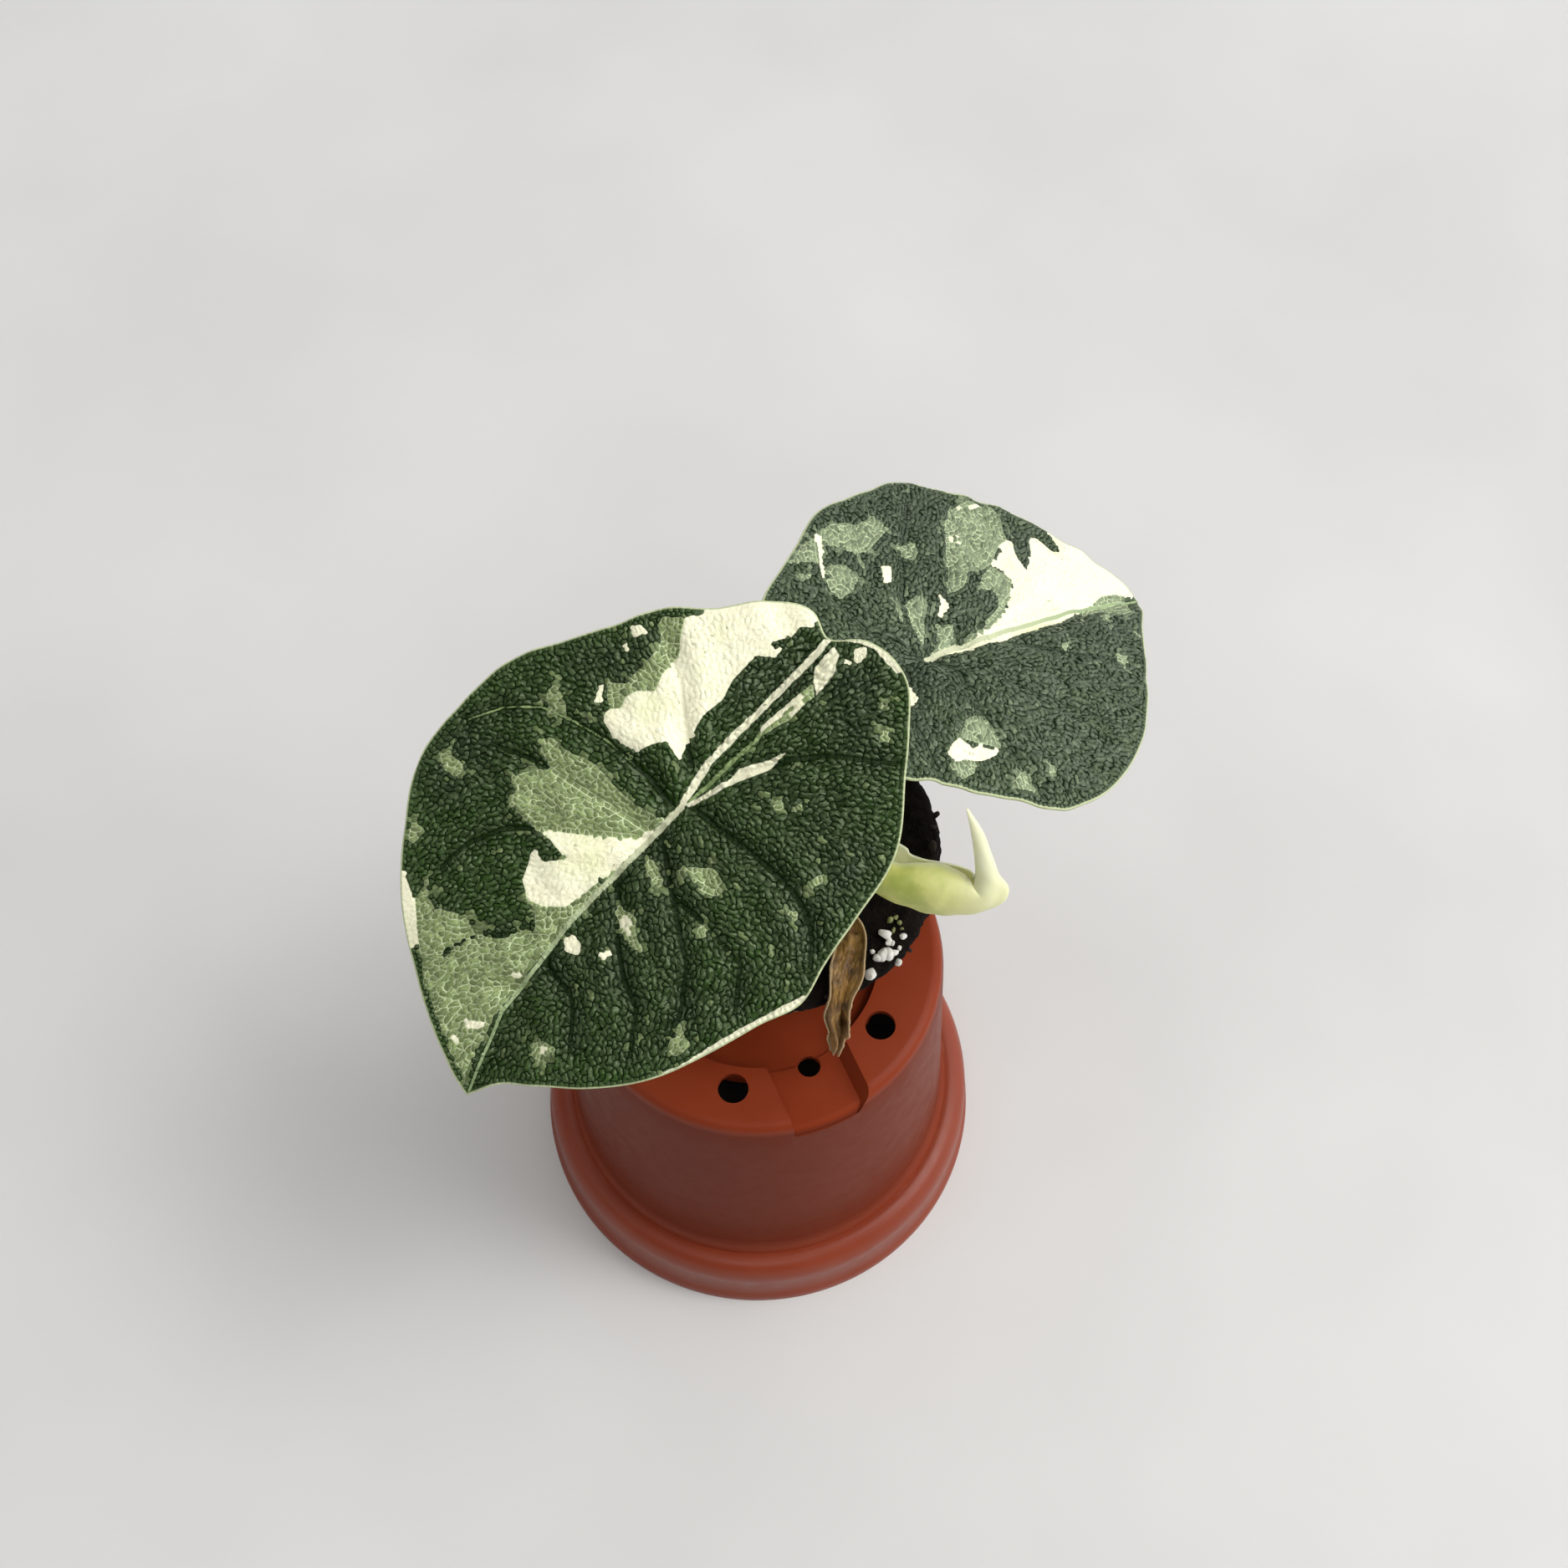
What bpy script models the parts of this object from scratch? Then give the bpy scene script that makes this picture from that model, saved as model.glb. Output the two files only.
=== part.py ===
"""A young variegated alocasia, out of its pot, with its root ball standing on the base of that upturned pot."""

import math

import bmesh
import bpy
import numpy as np
from mathutils import Matrix, Vector, noise

# Clearance between pieces that touch, a cutter's reach past what it cuts, and how close points are merged
GAP = 0.0003
CUT_REACH = 0.010
MERGE = 0.00001

# Where the pot's axis stands, which centres the whole on the origin
POT_AXIS = (-0.00724, -0.00997)

# Nursery pot, rim down
POT_HEIGHT = 0.080
POT_RIM_R = 0.0453
POT_WALL = 0.0013
POT_SIDES = 48
POT_LIP_Z = 0.0036
POT_LIP_TURN = 0.0006
POT_WAIST_Z = 0.0068
POT_SHOULDER_R = 0.0436
POT_SHOULDER_Z = 0.0156
POT_SHOULDER_WIDTH = 0.0036
POT_SHOULDER_DROP = 0.0046
POT_GROOVE_R = 0.0384
POT_GROOVE_Z = 0.0168
POT_GROOVE_RISE = 0.0016
POT_BASE_R = 0.0347
POT_CORNER = 0.0022
RECESS_R = 0.0227
RECESS_DEPTH = 0.0034
CHANNELS = 3
CHANNEL_TURN = math.radians(-64.8)
CHANNEL_HALF_WIDTH = 0.0077
CHANNEL_DEPTH = 0.0028
PAD_HOLE_R = 0.0029
PAD_HOLE_AT = 0.0269
PAD_HOLE_TURN = math.radians(33.2)
CHANNEL_HOLE_R = 0.0022
CHANNEL_HOLE_AT = 0.0234

# Root ball and the short stem at its middle
BALL_CENTRE = Vector((0.0012, 0.0106, 0.0))
BALL_TOP = 0.1062
BALL_TOP_R = 0.0318
BALL_FOOT_R = 0.0205
BALL_LUMP = 0.0014
BALL_TOP_LUMP = 0.0004
STEM_CENTRE = Vector((0.0035, 0.0075, 0.0))
STEM_R = 0.0062
STEM_TOP = 0.1115
STEM_DEPTH = 0.0050

# Leaf blades
BLADE_THICKNESS = 0.0009
BLADE_CELLS = 28

# Front blade: outline from its tip round to its tip, as (degrees, distance from the stalk)
FRONT_AT = Vector((-0.0111, -0.0074, 0.1550))
FRONT_TURN, FRONT_SLOPE, FRONT_ROLL = 230.1, 20.0, -8.0
FRONT_OUTLINE = (
    (0, 0.0562), (3, 0.0522), (9, 0.0489), (19, 0.0456), (30, 0.0424), (46, 0.0376), (58, 0.0355), (70, 0.0353),
    (80, 0.0329), (94, 0.0320), (116, 0.0339), (136, 0.0349), (146, 0.0369), (158, 0.0398), (170, 0.0381),
    (177, 0.0345), (184, 0.0364), (196, 0.0344), (208, 0.0313), (224, 0.0311), (238, 0.0304), (252, 0.0319),
    (268, 0.0361),
    (283, 0.0390), (296, 0.0425), (311, 0.0441), (328, 0.0470), (341, 0.0495), (352, 0.0530), (360, 0.0562),
)
FRONT_DROOP, FRONT_LOBES, FRONT_ARCH, FRONT_FOLD = 0.0060, 0.0015, 0.0035, 0.0028
FRONT_VEINS = (
    ((0.0, 0.0), (0.012, -0.0013), (0.024, -0.0027), (0.042, -0.0029), (0.0555, 0.0)),
    ((0.0, 0.0), (-0.0078, -0.0002), (-0.022, 0.0011), (-0.034, 0.0020)),
    ((-0.0010, 0.0016), (-0.0010, 0.016), (0.0012, 0.0257), (0.0081, 0.0315)),
    ((0.0047, -0.0004), (0.0100, 0.0057), (0.0185, 0.0159), (0.0294, 0.0207)),
    ((0.0117, 0.0091), (0.0134, 0.0222), (0.0193, 0.0259)),
    ((0.0145, -0.0013), (0.0217, 0.0044), (0.0283, 0.0135), (0.0347, 0.0172)),
    ((0.0266, -0.0039), (0.0333, 0.0042), (0.0398, 0.0091)),
    ((-0.0087, 0.0041), (-0.0200, 0.0132), (-0.0258, 0.0230)),
    ((0.0007, -0.0018), (-0.0010, -0.0154), (0.0012, -0.0271), (0.0098, -0.0354)),
    ((0.0061, -0.0025), (0.0081, -0.0220), (0.0104, -0.0295)),
    ((0.0073, -0.0016), (0.0193, -0.0197), (0.0300, -0.0241)),
    ((0.0281, -0.0033), (0.0362, -0.0139), (0.0409, -0.0162)),
    ((0.0370, -0.0026), (0.0444, -0.0081), (0.0488, -0.0084)),
    ((-0.0060, -0.0030), (-0.0150, -0.0120), (-0.0200, -0.0210)),
)

# Back blade
BACK_AT = Vector((0.0282, 0.0268, 0.1430))
BACK_TURN, BACK_SLOPE, BACK_ROLL = 36.0, 25.0, 6.0
BACK_OUTLINE = (
    (0, 0.0595), (3, 0.0573), (10, 0.0528), (19, 0.0482), (32, 0.0445), (48, 0.0406), (60, 0.0392),
    (75, 0.0346), (93, 0.0321), (113, 0.0288), (128, 0.0288), (144, 0.0308), (160, 0.0318), (172, 0.0300),
    (180, 0.0272), (188, 0.0290), (205, 0.0308), (224, 0.0285), (236, 0.0268), (247, 0.0276), (262, 0.0294),
    (274, 0.0330), (290, 0.0362), (305, 0.0387), (325, 0.0425), (340, 0.0458), (352, 0.0518), (360, 0.0595),
)
BACK_DROOP, BACK_LOBES, BACK_ARCH, BACK_FOLD = 0.0050, 0.0010, 0.0035, 0.0035
BACK_VEINS = (
    ((0.0, 0.0), (0.020, 0.0004), (0.040, 0.0006), (0.0590, 0.0)),
    ((0.0, 0.0), (-0.0053, 0.0020), (-0.0160, 0.0022), (-0.0268, 0.0)),
    ((0.0003, -0.0001), (0.0110, -0.0074), (0.0214, -0.0186), (0.0292, -0.0238)),
    ((0.0003, -0.0001), (0.0015, -0.0090), (0.0007, -0.0193), (0.0020, -0.0308)),
    ((0.0001, 0.0001), (-0.0090, 0.0075), (-0.0107, 0.0193), (-0.0070, 0.0254)),
    ((0.0001, 0.0001), (0.0010, 0.0104), (0.0080, 0.0199), (0.0178, 0.0294)),
    ((0.0005, 0.0002), (0.0135, 0.0122), (0.0232, 0.0238), (0.0280, 0.0272)),
    ((0.0088, 0.0011), (0.0188, 0.0034), (0.0307, 0.0086), (0.0408, 0.0144)),
    ((-0.0060, -0.0015), (-0.0130, -0.0110), (-0.0150, -0.0220)),
    ((0.0160, -0.0003), (0.0300, -0.0080), (0.0400, -0.0130)),
)

# Grooves along the veins, which show as ribs underneath
RIB_DEPTH = 0.0009
RIB_WIDTH = 0.0019

# Leaf stalks: radius at the foot and at the blade
STALK_FOOT_R = 0.0022
STALK_TOP_R = 0.0015
STALK_SOCKET = 0.0032
STALK_POINTS = 16

# Rolled new leaf: stations along it, as (x, y, z, half width, depth, front lip, back lip), lips in degrees from up
NEW_THICKNESS = 0.0007
NEW_STATIONS = (
    (0.0085, 0.0010, 0.1345, 0.0016, 0.0022, 30, 30),
    (0.0150, -0.0030, 0.1350, 0.0030, 0.0040, 40, 10),
    (0.0220, -0.0070, 0.1350, 0.0038, 0.0050, 34, 0),
    (0.0290, -0.0100, 0.1345, 0.0043, 0.0056, 26, 18),
    (0.0345, -0.0106, 0.1347, 0.0040, 0.0052, 34, 24),
    (0.0368, -0.0100, 0.1365, 0.0028, 0.0036, 30, 30),
    (0.0370, -0.0086, 0.1400, 0.0017, 0.0018, 40, 40),
    (0.0360, -0.0066, 0.1445, 0.0011, 0.0011, 60, 60),
    (0.0341, -0.0049, 0.1490, 0.0005, 0.0006, 84, 84),
)
NEW_ROWS, NEW_COLUMNS = 24, 12
NEW_STALK_AT = 0.22

# Withered leaf: its dried stalk and folded blade along one path, as (x, y, z, half width, fold)
WITHERED_THICKNESS = 0.0007
WITHERED_PATH = (
    (0.0083, 0.0031, 0.1080, 0.0011, 0.0004),
    (0.0128, -0.0020, 0.1083, 0.0018, 0.0006),
    (0.0156, -0.0078, 0.1086, 0.0028, 0.0009),
    (0.0167, -0.0140, 0.1086, 0.0031, 0.0011),
    (0.0167, -0.0190, 0.1056, 0.0030, 0.0012),
    (0.0158, -0.0210, 0.0995, 0.0029, 0.0012),
    (0.0147, -0.0212, 0.0915, 0.0025, 0.0011),
    (0.0139, -0.0200, 0.0832, 0.0012, 0.0005),
)
WITHERED_FOLDS = (-1.0, 0.9, -0.8, 1.0, -0.6)
WITHERED_ROWS, WITHERED_COLUMNS = 26, 8


def clear_scene():
    for obj in list(bpy.data.objects):
        bpy.data.objects.remove(obj, do_unlink=True)


def collection(name):
    made = bpy.data.collections.new(name)
    bpy.context.scene.collection.children.link(made)
    return made


def material(name, colour, roughness, metallic=0.0):
    mat = bpy.data.materials.new(name)
    mat.use_nodes = True
    shader = mat.node_tree.nodes["Principled BSDF"]
    shader.inputs["Base Color"].default_value = (*colour, 1.0)
    shader.inputs["Roughness"].default_value = roughness
    shader.inputs["Metallic"].default_value = metallic
    return mat


def place(name, mesh, mat, group=None):
    obj = bpy.data.objects.new(name, mesh)
    (group or PARTS).objects.link(obj)
    obj.parent = AXIS
    if mat:
        mesh.materials.append(mat)
    if group is CUTTERS:
        obj.hide_render = True
        obj.display_type = "WIRE"
    return obj


def finish(obj, degrees=40):
    obj.data.shade_smooth()
    obj.data.set_sharp_from_angle(angle=math.radians(degrees))
    return obj


def mesh_from(bm, name):
    mesh = bpy.data.meshes.new(name)
    bm.to_mesh(mesh)
    bm.free()
    return mesh


def cut(obj, cutter):
    """Takes the cutter's shape out of the object when the part is evaluated."""
    step = obj.modifiers.new("cut " + cutter.name, "BOOLEAN")
    step.operation = "DIFFERENCE"
    step.object = cutter
    step.solver = "EXACT"


def turned(name, profile, steps, mat, group=None):
    """Turns a profile of (radius, height), given from top to bottom, about the vertical axis."""
    mesh = bpy.data.meshes.new(name)
    points = [(r, 0.0, z) for r, z in profile]
    mesh.from_pydata(points, [(i, i + 1) for i in range(len(points) - 1)], [])
    obj = place(name, mesh, mat, group)
    screw = obj.modifiers.new("turn", "SCREW")
    screw.steps = steps
    screw.render_steps = steps
    screw.use_merge_vertices = True
    screw.merge_threshold = MERGE
    return obj


def rod(name, radius, depth, centre, sides=24):
    bm = bmesh.new()
    bmesh.ops.create_cone(bm, cap_ends=True, segments=sides, radius1=radius, radius2=radius, depth=depth)
    obj = place(name, mesh_from(bm, name), None, CUTTERS)
    obj.location = centre
    return obj


def block(name, size, centre, turn):
    bm = bmesh.new()
    bmesh.ops.create_cube(bm, size=1.0)
    bmesh.ops.scale(bm, vec=size, verts=bm.verts)
    obj = place(name, mesh_from(bm, name), None, CUTTERS)
    obj.location = centre
    obj.rotation_euler.z = turn
    return obj


def through(x, knots):
    """A smooth curve through (x, value) knots, read at x."""
    xs = np.array([k[0] for k in knots], float)
    ys = np.array([k[1:] for k in knots], float)
    slopes = np.gradient(ys, xs, axis=0)
    i = int(np.clip(np.searchsorted(xs, x) - 1, 0, len(xs) - 2))
    span = xs[i + 1] - xs[i]
    t = (x - xs[i]) / span
    start, end = (1 + 2 * t) * (1 - t) ** 2, t * t * (3 - 2 * t)
    lead, tail = t * (1 - t) ** 2 * span, -t * t * (1 - t) * span
    return start * ys[i] + end * ys[i + 1] + lead * slopes[i] + tail * slopes[i + 1]


# Nursery pot: a thin turned wall with a collar at the rim, raised pads round a recess, channels and holes

def pot_profile(inset):
    """Outer skin of the upturned pot, or its inner skin when inset by the wall's thickness."""
    top = POT_HEIGHT - inset
    corner = [
        (
            POT_BASE_R - POT_CORNER * (1 - math.sin(a)) - inset,
            top - POT_CORNER * (1 - math.cos(a)),
        )
        for a in (math.radians(d) for d in (0, 30, 60, 90))
    ]
    wall = (POT_BASE_R + GAP - inset, POT_HEIGHT - 1.3 * CHANNEL_DEPTH - inset)
    groove = (POT_GROOVE_R - inset, POT_GROOVE_Z + POT_GROOVE_RISE)
    shoulder_in = (POT_GROOVE_R + POT_GROOVE_RISE - inset, POT_GROOVE_Z - inset / 2)
    shoulder = [
        (
            POT_SHOULDER_R - POT_SHOULDER_WIDTH * (1 - math.sin(a)) - inset,
            POT_SHOULDER_Z - POT_SHOULDER_DROP * (1 - math.cos(a)) - inset,
        )
        for a in (math.radians(d) for d in (15, 40, 65, 90))
    ]
    waist = (POT_SHOULDER_R - inset, POT_WAIST_Z)
    lip = [(POT_RIM_R - POT_LIP_TURN - inset, POT_LIP_Z), (POT_RIM_R - inset, POT_LIP_Z / 2)]
    foot = -inset
    end = [(POT_RIM_R - inset, foot), (0.0, foot)]
    return [(0.0, top)] + corner + [wall, groove, shoulder_in] + shoulder + [waist] + lip + end


def base_cuts(obj, spread):
    """Cuts the centre recess and the channels, widened and deepened by spread for the inner skin."""
    floor = POT_HEIGHT - RECESS_DEPTH - spread
    recess = rod(f"recess_{obj.name}", RECESS_R + spread, CUT_REACH, (0, 0, floor + CUT_REACH / 2), 48)
    cut(obj, recess)
    inner = RECESS_R - CHANNEL_HALF_WIDTH / 2
    outer = POT_BASE_R + CUT_REACH
    for k in range(CHANNELS):
        turn = CHANNEL_TURN + k * math.tau / CHANNELS
        floor = POT_HEIGHT - CHANNEL_DEPTH - spread
        middle = (inner + outer) / 2
        centre = (middle * math.cos(turn), middle * math.sin(turn), floor + CUT_REACH / 2)
        size = (outer - inner, 2 * (CHANNEL_HALF_WIDTH + spread), CUT_REACH)
        cut(obj, block(f"channel_{k}_{obj.name}", size, centre, turn))


def make_pot():
    plastic = material("pot_plastic", (0.33, 0.07, 0.035), 0.42)
    pot = turned("pot", pot_profile(0.0), POT_SIDES, plastic)
    base_cuts(pot, 0.0)
    hollow = turned("pot_inside", pot_profile(POT_WALL), POT_SIDES, None, CUTTERS)
    base_cuts(hollow, POT_WALL)
    cut(pot, hollow)
    for k in range(CHANNELS):
        turn = CHANNEL_TURN + k * math.tau / CHANNELS
        holes = [(turn, CHANNEL_HOLE_AT, CHANNEL_HOLE_R)]
        holes += [(turn + side * PAD_HOLE_TURN, PAD_HOLE_AT, PAD_HOLE_R) for side in (-1, 1)]
        for i, (angle, at, radius) in enumerate(holes):
            centre = (at * math.cos(angle), at * math.sin(angle), POT_HEIGHT)
            cut(pot, rod(f"drain_{k}_{i}", radius, 2 * CUT_REACH, centre, 20))
    return finish(pot)


# Root ball: a plug of peat, widest just below its top, with a crumbly skin and a flat foot

def make_root_ball():
    foot = POT_HEIGHT + GAP
    rise = BALL_TOP - foot
    rows = (
        (0.00, 0.0, foot), (0.14, BALL_FOOT_R * 0.55, foot), (0.24, BALL_FOOT_R, foot),
        (0.32, BALL_FOOT_R + 0.0024, foot + 0.10 * rise), (0.46, BALL_FOOT_R + 0.0056, foot + 0.40 * rise),
        (0.60, BALL_TOP_R - 0.0016, foot + 0.72 * rise), (0.68, BALL_TOP_R, foot + 0.90 * rise),
        (0.75, BALL_TOP_R - 0.0020, BALL_TOP), (0.86, BALL_TOP_R * 0.60, BALL_TOP + 0.0004),
        (1.00, 0.0, BALL_TOP + 0.0004),
    )
    bm = bmesh.new()
    bmesh.ops.create_uvsphere(bm, u_segments=32, v_segments=18, radius=1.0)
    for vert in bm.verts:
        turn = math.atan2(vert.co.y, vert.co.x)
        height = 1.0 - math.acos(max(-1.0, min(1.0, vert.co.z))) / math.pi
        radius, z = through(height, rows)
        above_foot = min(1.0, max(0.0, (z - foot) / (0.15 * rise)))
        off_middle = min(1.0, radius / (BALL_FOOT_R / 2))
        lump = noise.noise(Vector((math.cos(turn), math.sin(turn), 0.0)) * 2.6 + Vector((0, 0, z * 160)))
        radius = max(radius, 0.0) + BALL_LUMP * lump * above_foot * off_middle
        if height > 0.8:
            z += BALL_TOP_LUMP * noise.noise(Vector((vert.co.x * 3.0, vert.co.y * 3.0, 7.0)))
        vert.co = Vector((radius * math.cos(turn), radius * math.sin(turn), max(z, foot)))
    bmesh.ops.remove_doubles(bm, verts=bm.verts, dist=MERGE)
    mat = material("peat", (0.018, 0.013, 0.010), 0.95)
    ball = place("root_ball", mesh_from(bm, "root_ball"), mat)
    ball.location = BALL_CENTRE
    middle = STEM_CENTRE + Vector((0, 0, hole_foot() - GAP + CUT_REACH))
    socket = rod("stem_hole", STEM_R + GAP, 2 * CUT_REACH, middle)
    cut(ball, socket)
    return finish(ball, 60)


def hole_foot():
    return BALL_TOP - STEM_DEPTH


# Short stem, from which every stalk rises

def make_stem_base(stalks):
    profile = [
        (0.0, STEM_TOP), (STEM_R * 0.55, STEM_TOP - 0.0003), (STEM_R * 0.80, STEM_TOP - 0.0018),
        (STEM_R, BALL_TOP + 0.0016), (STEM_R, hole_foot()), (0.0, hole_foot()),
    ]
    stem = turned("stem_base", profile, 28, material("stem_skin", (0.20, 0.19, 0.09), 0.7))
    stem.location = STEM_CENTRE
    for stalk in stalks:
        cut(stem, stalk)
    return finish(stem)


# Leaf blades: an outline round the stalk, folded along the midrib, arched, drooping, and grooved at its veins

def blade_frame(turn, slope, roll):
    """Directions of the midrib, across the blade and off its upper face."""
    turn, slope, roll = (math.radians(a) for a in (turn, slope, roll))
    along = Vector((math.cos(slope) * math.cos(turn), math.cos(slope) * math.sin(turn), -math.sin(slope)))
    level = Vector((-math.sin(turn), math.cos(turn), 0.0))
    across = level * math.cos(roll) + along.cross(level) * math.sin(roll)
    return along, across, along.cross(across)


def rib_groove(u, v, veins):
    """Depth of the groove at a point of the blade, deepest at the stalk and shallow by the margin."""
    point = np.array((u, v))
    deepest = 0.0
    for rank, vein in enumerate(veins):
        nodes = np.array(vein)
        for i, (start, end) in enumerate(zip(nodes[:-1], nodes[1:])):
            span = end - start
            t = float(np.clip((point - start) @ span / (span @ span), 0.0, 1.0))
            away = np.linalg.norm(point - start - t * span)
            fade = 1.0 - 0.75 * (i + t) / (len(nodes) - 1)
            depth = RIB_DEPTH * (1.0 if rank < 2 else 0.8) * fade
            deepest = max(deepest, depth * math.exp(-((away / RIB_WIDTH) ** 2)))
    return deepest


def blade_height(u, v, droop, lobes, arch, fold, veins):
    tip = -droop * (max(u, 0.0) / 0.056) ** 2
    back = -lobes * (min(u, 0.0) / 0.036) ** 2
    sides = -arch * (v / 0.038) ** 2 + fold * (1 - math.exp(-abs(v) / 0.008))
    return tip + back + sides - rib_groove(u, v, veins)


def make_blade(name, at, frame, outline, shape, mat):
    """Spreads a square grid evenly over the outline, lifts it to the blade's height, and gives it thickness."""
    bm = bmesh.new()
    bmesh.ops.create_grid(bm, x_segments=BLADE_CELLS, y_segments=BLADE_CELLS, size=1.0)
    for vert in bm.verts:
        a, b = vert.co.x, vert.co.y
        share = max(abs(a), abs(b))
        if share < 1e-6:
            turn = 0.0
        elif abs(a) >= abs(b):
            turn = math.pi / 4 * b / a + (math.pi if a < 0 else 0.0)
        else:
            turn = math.pi / 2 - math.pi / 4 * a / b + (math.pi if b < 0 else 0.0)
        radius = share * float(through(math.degrees(turn) % 360.0, outline)[0])
        u, v = radius * math.cos(turn), radius * math.sin(turn)
        vert.co = Vector((u, v, blade_height(u, v, *shape)))
    bmesh.ops.triangulate(bm, faces=bm.faces, quad_method="SHORT_EDGE")
    blade = place(name, mesh_from(bm, name), mat)
    along, across, off = frame
    turned_to = Matrix((along, across, off)).transposed()
    blade.matrix_local = Matrix.Translation(at) @ turned_to.to_4x4()
    skin = blade.modifiers.new("thickness", "SOLIDIFY")
    skin.thickness = BLADE_THICKNESS
    skin.offset = -1.0
    return finish(blade, 60)


# Leaf stalks: tapered tubes from the stem to the underside of each blade

def make_stalk(name, points, mat):
    """Makes a stalk through the points, and returns the slightly wider copy that cuts its socket in the stem."""
    for extra, group in ((0.0, PARTS), (GAP, CUTTERS)):
        curve = bpy.data.curves.new(name, "CURVE")
        curve.dimensions = "3D"
        curve.bevel_depth = 1.0
        curve.bevel_resolution = 3
        curve.use_fill_caps = True
        spline = curve.splines.new("POLY")
        knots = [(i / (len(points) - 1), *p) for i, p in enumerate(points)]
        spline.points.add(STALK_POINTS - 1)
        foot = Vector(points[0]) - Vector(points[1])
        for i, node in enumerate(spline.points):
            t = i / (STALK_POINTS - 1)
            spot = Vector(through(t, knots))
            if i == 0:
                spot += foot.normalized() * extra
            node.co = (*spot, 1.0)
            node.radius = STALK_FOOT_R + (STALK_TOP_R - STALK_FOOT_R) * t + extra
        tube = bpy.data.objects.new(name + "_curve", curve)
        bpy.context.scene.collection.objects.link(tube)
        made = mesh_of_curve(tube, name if group is PARTS else name + "_socket", mat, group)
    return made


def mesh_of_curve(tube, name, mat, group):
    """Turns a tube into a mesh with its caps welded on, so that it can cut or be cut."""
    bpy.context.view_layer.update()
    seen = tube.evaluated_get(bpy.context.evaluated_depsgraph_get())
    mesh = bpy.data.meshes.new_from_object(seen)
    mesh.name = name
    mesh.materials.clear()
    bm = bmesh.new()
    bm.from_mesh(mesh)
    bmesh.ops.remove_doubles(bm, verts=bm.verts, dist=MERGE)
    bm.to_mesh(mesh)
    bm.free()
    bpy.data.objects.remove(tube, do_unlink=True)
    return finish(place(name, mesh, mat if group is PARTS else None, group))


def underside(at, frame, shape, u=0.0, v=0.0):
    """The point just below the blade's underside at (u, v), where its stalk ends."""
    along, across, off = frame
    drop = blade_height(u, v, *shape) - BLADE_THICKNESS - GAP
    return at + along * u + across * v + off * drop


# Sheets that roll or fold along a path: the new leaf and the withered one

def along_path(stations, t):
    knots = [(i / (len(stations) - 1), *row) for i, row in enumerate(stations)]
    return through(t, knots)


def sheet(name, rows, columns, spot, thickness, mat):
    """A sheet given by a function of (along, across), both from 0 to 1, with thickness inside it."""
    bm = bmesh.new()
    bmesh.ops.create_grid(bm, x_segments=rows, y_segments=columns, size=0.5)
    for vert in bm.verts:
        vert.co = spot(vert.co.x + 0.5, vert.co.y + 0.5)
    bmesh.ops.triangulate(bm, faces=bm.faces, quad_method="SHORT_EDGE")
    obj = place(name, mesh_from(bm, name), mat)
    skin = obj.modifiers.new("thickness", "SOLIDIFY")
    skin.thickness = thickness
    skin.offset = 0.0
    return finish(obj, 60)


def path_frame(stations, t, up):
    """Direction along the path at t, with the side and the open directions square to it."""
    step = 0.01
    ahead = Vector(along_path(stations, min(t + step, 1.0))[:3])
    behind = Vector(along_path(stations, max(t - step, 0.0))[:3])
    forward = (ahead - behind).normalized()
    side = forward.cross(up).normalized()
    return forward, side, side.cross(forward).normalized()


def new_leaf_spot(t, across):
    """A point of the rolled leaf: round its keel from the front lip to the back lip."""
    x, y, z, half, depth, front, back = along_path(NEW_STATIONS, t)
    bend = min(1.0, max(0.0, (t - 0.55) / 0.30))
    up = Vector((-0.95 * bend, 0.30, 1.0 - 0.92 * bend)).normalized()
    _, side, opening = path_frame(NEW_STATIONS, t, up)
    turn = math.radians(front + (360.0 - front - back) * across)
    return Vector((x, y, z)) + side * half * math.sin(turn) + opening * depth * math.cos(turn)


def withered_spot(t, across):
    """A point of the withered leaf, folded like a fan across its width."""
    x, y, z, half, fold = along_path(WITHERED_PATH, t)
    blend = min(1.0, max(0.0, (t - 0.35) / 0.30))
    up = Vector((0.0, -0.2, 1.0)).lerp(Vector((0.25, -1.0, 0.15)), blend)
    _, side, off = path_frame(WITHERED_PATH, t, up)
    folds = [(i / (len(WITHERED_FOLDS) - 1), f) for i, f in enumerate(WITHERED_FOLDS)]
    lift = float(through(across, folds)[0]) * fold
    return Vector((x, y, z)) + side * half * (2 * across - 1) + off * lift


clear_scene()
PARTS = collection("alocasia_melo")
CUTTERS = collection("cutters")
AXIS = bpy.data.objects.new("pot_axis", None)
PARTS.objects.link(AXIS)
AXIS.location = (*POT_AXIS, 0.0)

make_pot()
make_root_ball()

leaf_green = material("leaf_green", (0.035, 0.085, 0.035), 0.38)
stalk_green = material("stalk_green", (0.22, 0.27, 0.12), 0.5)
young_green = material("young_leaf", (0.62, 0.66, 0.25), 0.45)
dry_brown = material("dry_leaf", (0.30, 0.17, 0.06), 0.75)

front_frame = blade_frame(FRONT_TURN, FRONT_SLOPE, FRONT_ROLL)
front_shape = (FRONT_DROOP, FRONT_LOBES, FRONT_ARCH, FRONT_FOLD, FRONT_VEINS)
make_blade("leaf_blade_front", FRONT_AT, front_frame, FRONT_OUTLINE, front_shape, leaf_green)

back_frame = blade_frame(BACK_TURN, BACK_SLOPE, BACK_ROLL)
back_shape = (BACK_DROOP, BACK_LOBES, BACK_ARCH, BACK_FOLD, BACK_VEINS)
make_blade("leaf_blade_back", BACK_AT, back_frame, BACK_OUTLINE, back_shape, leaf_green)

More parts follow.
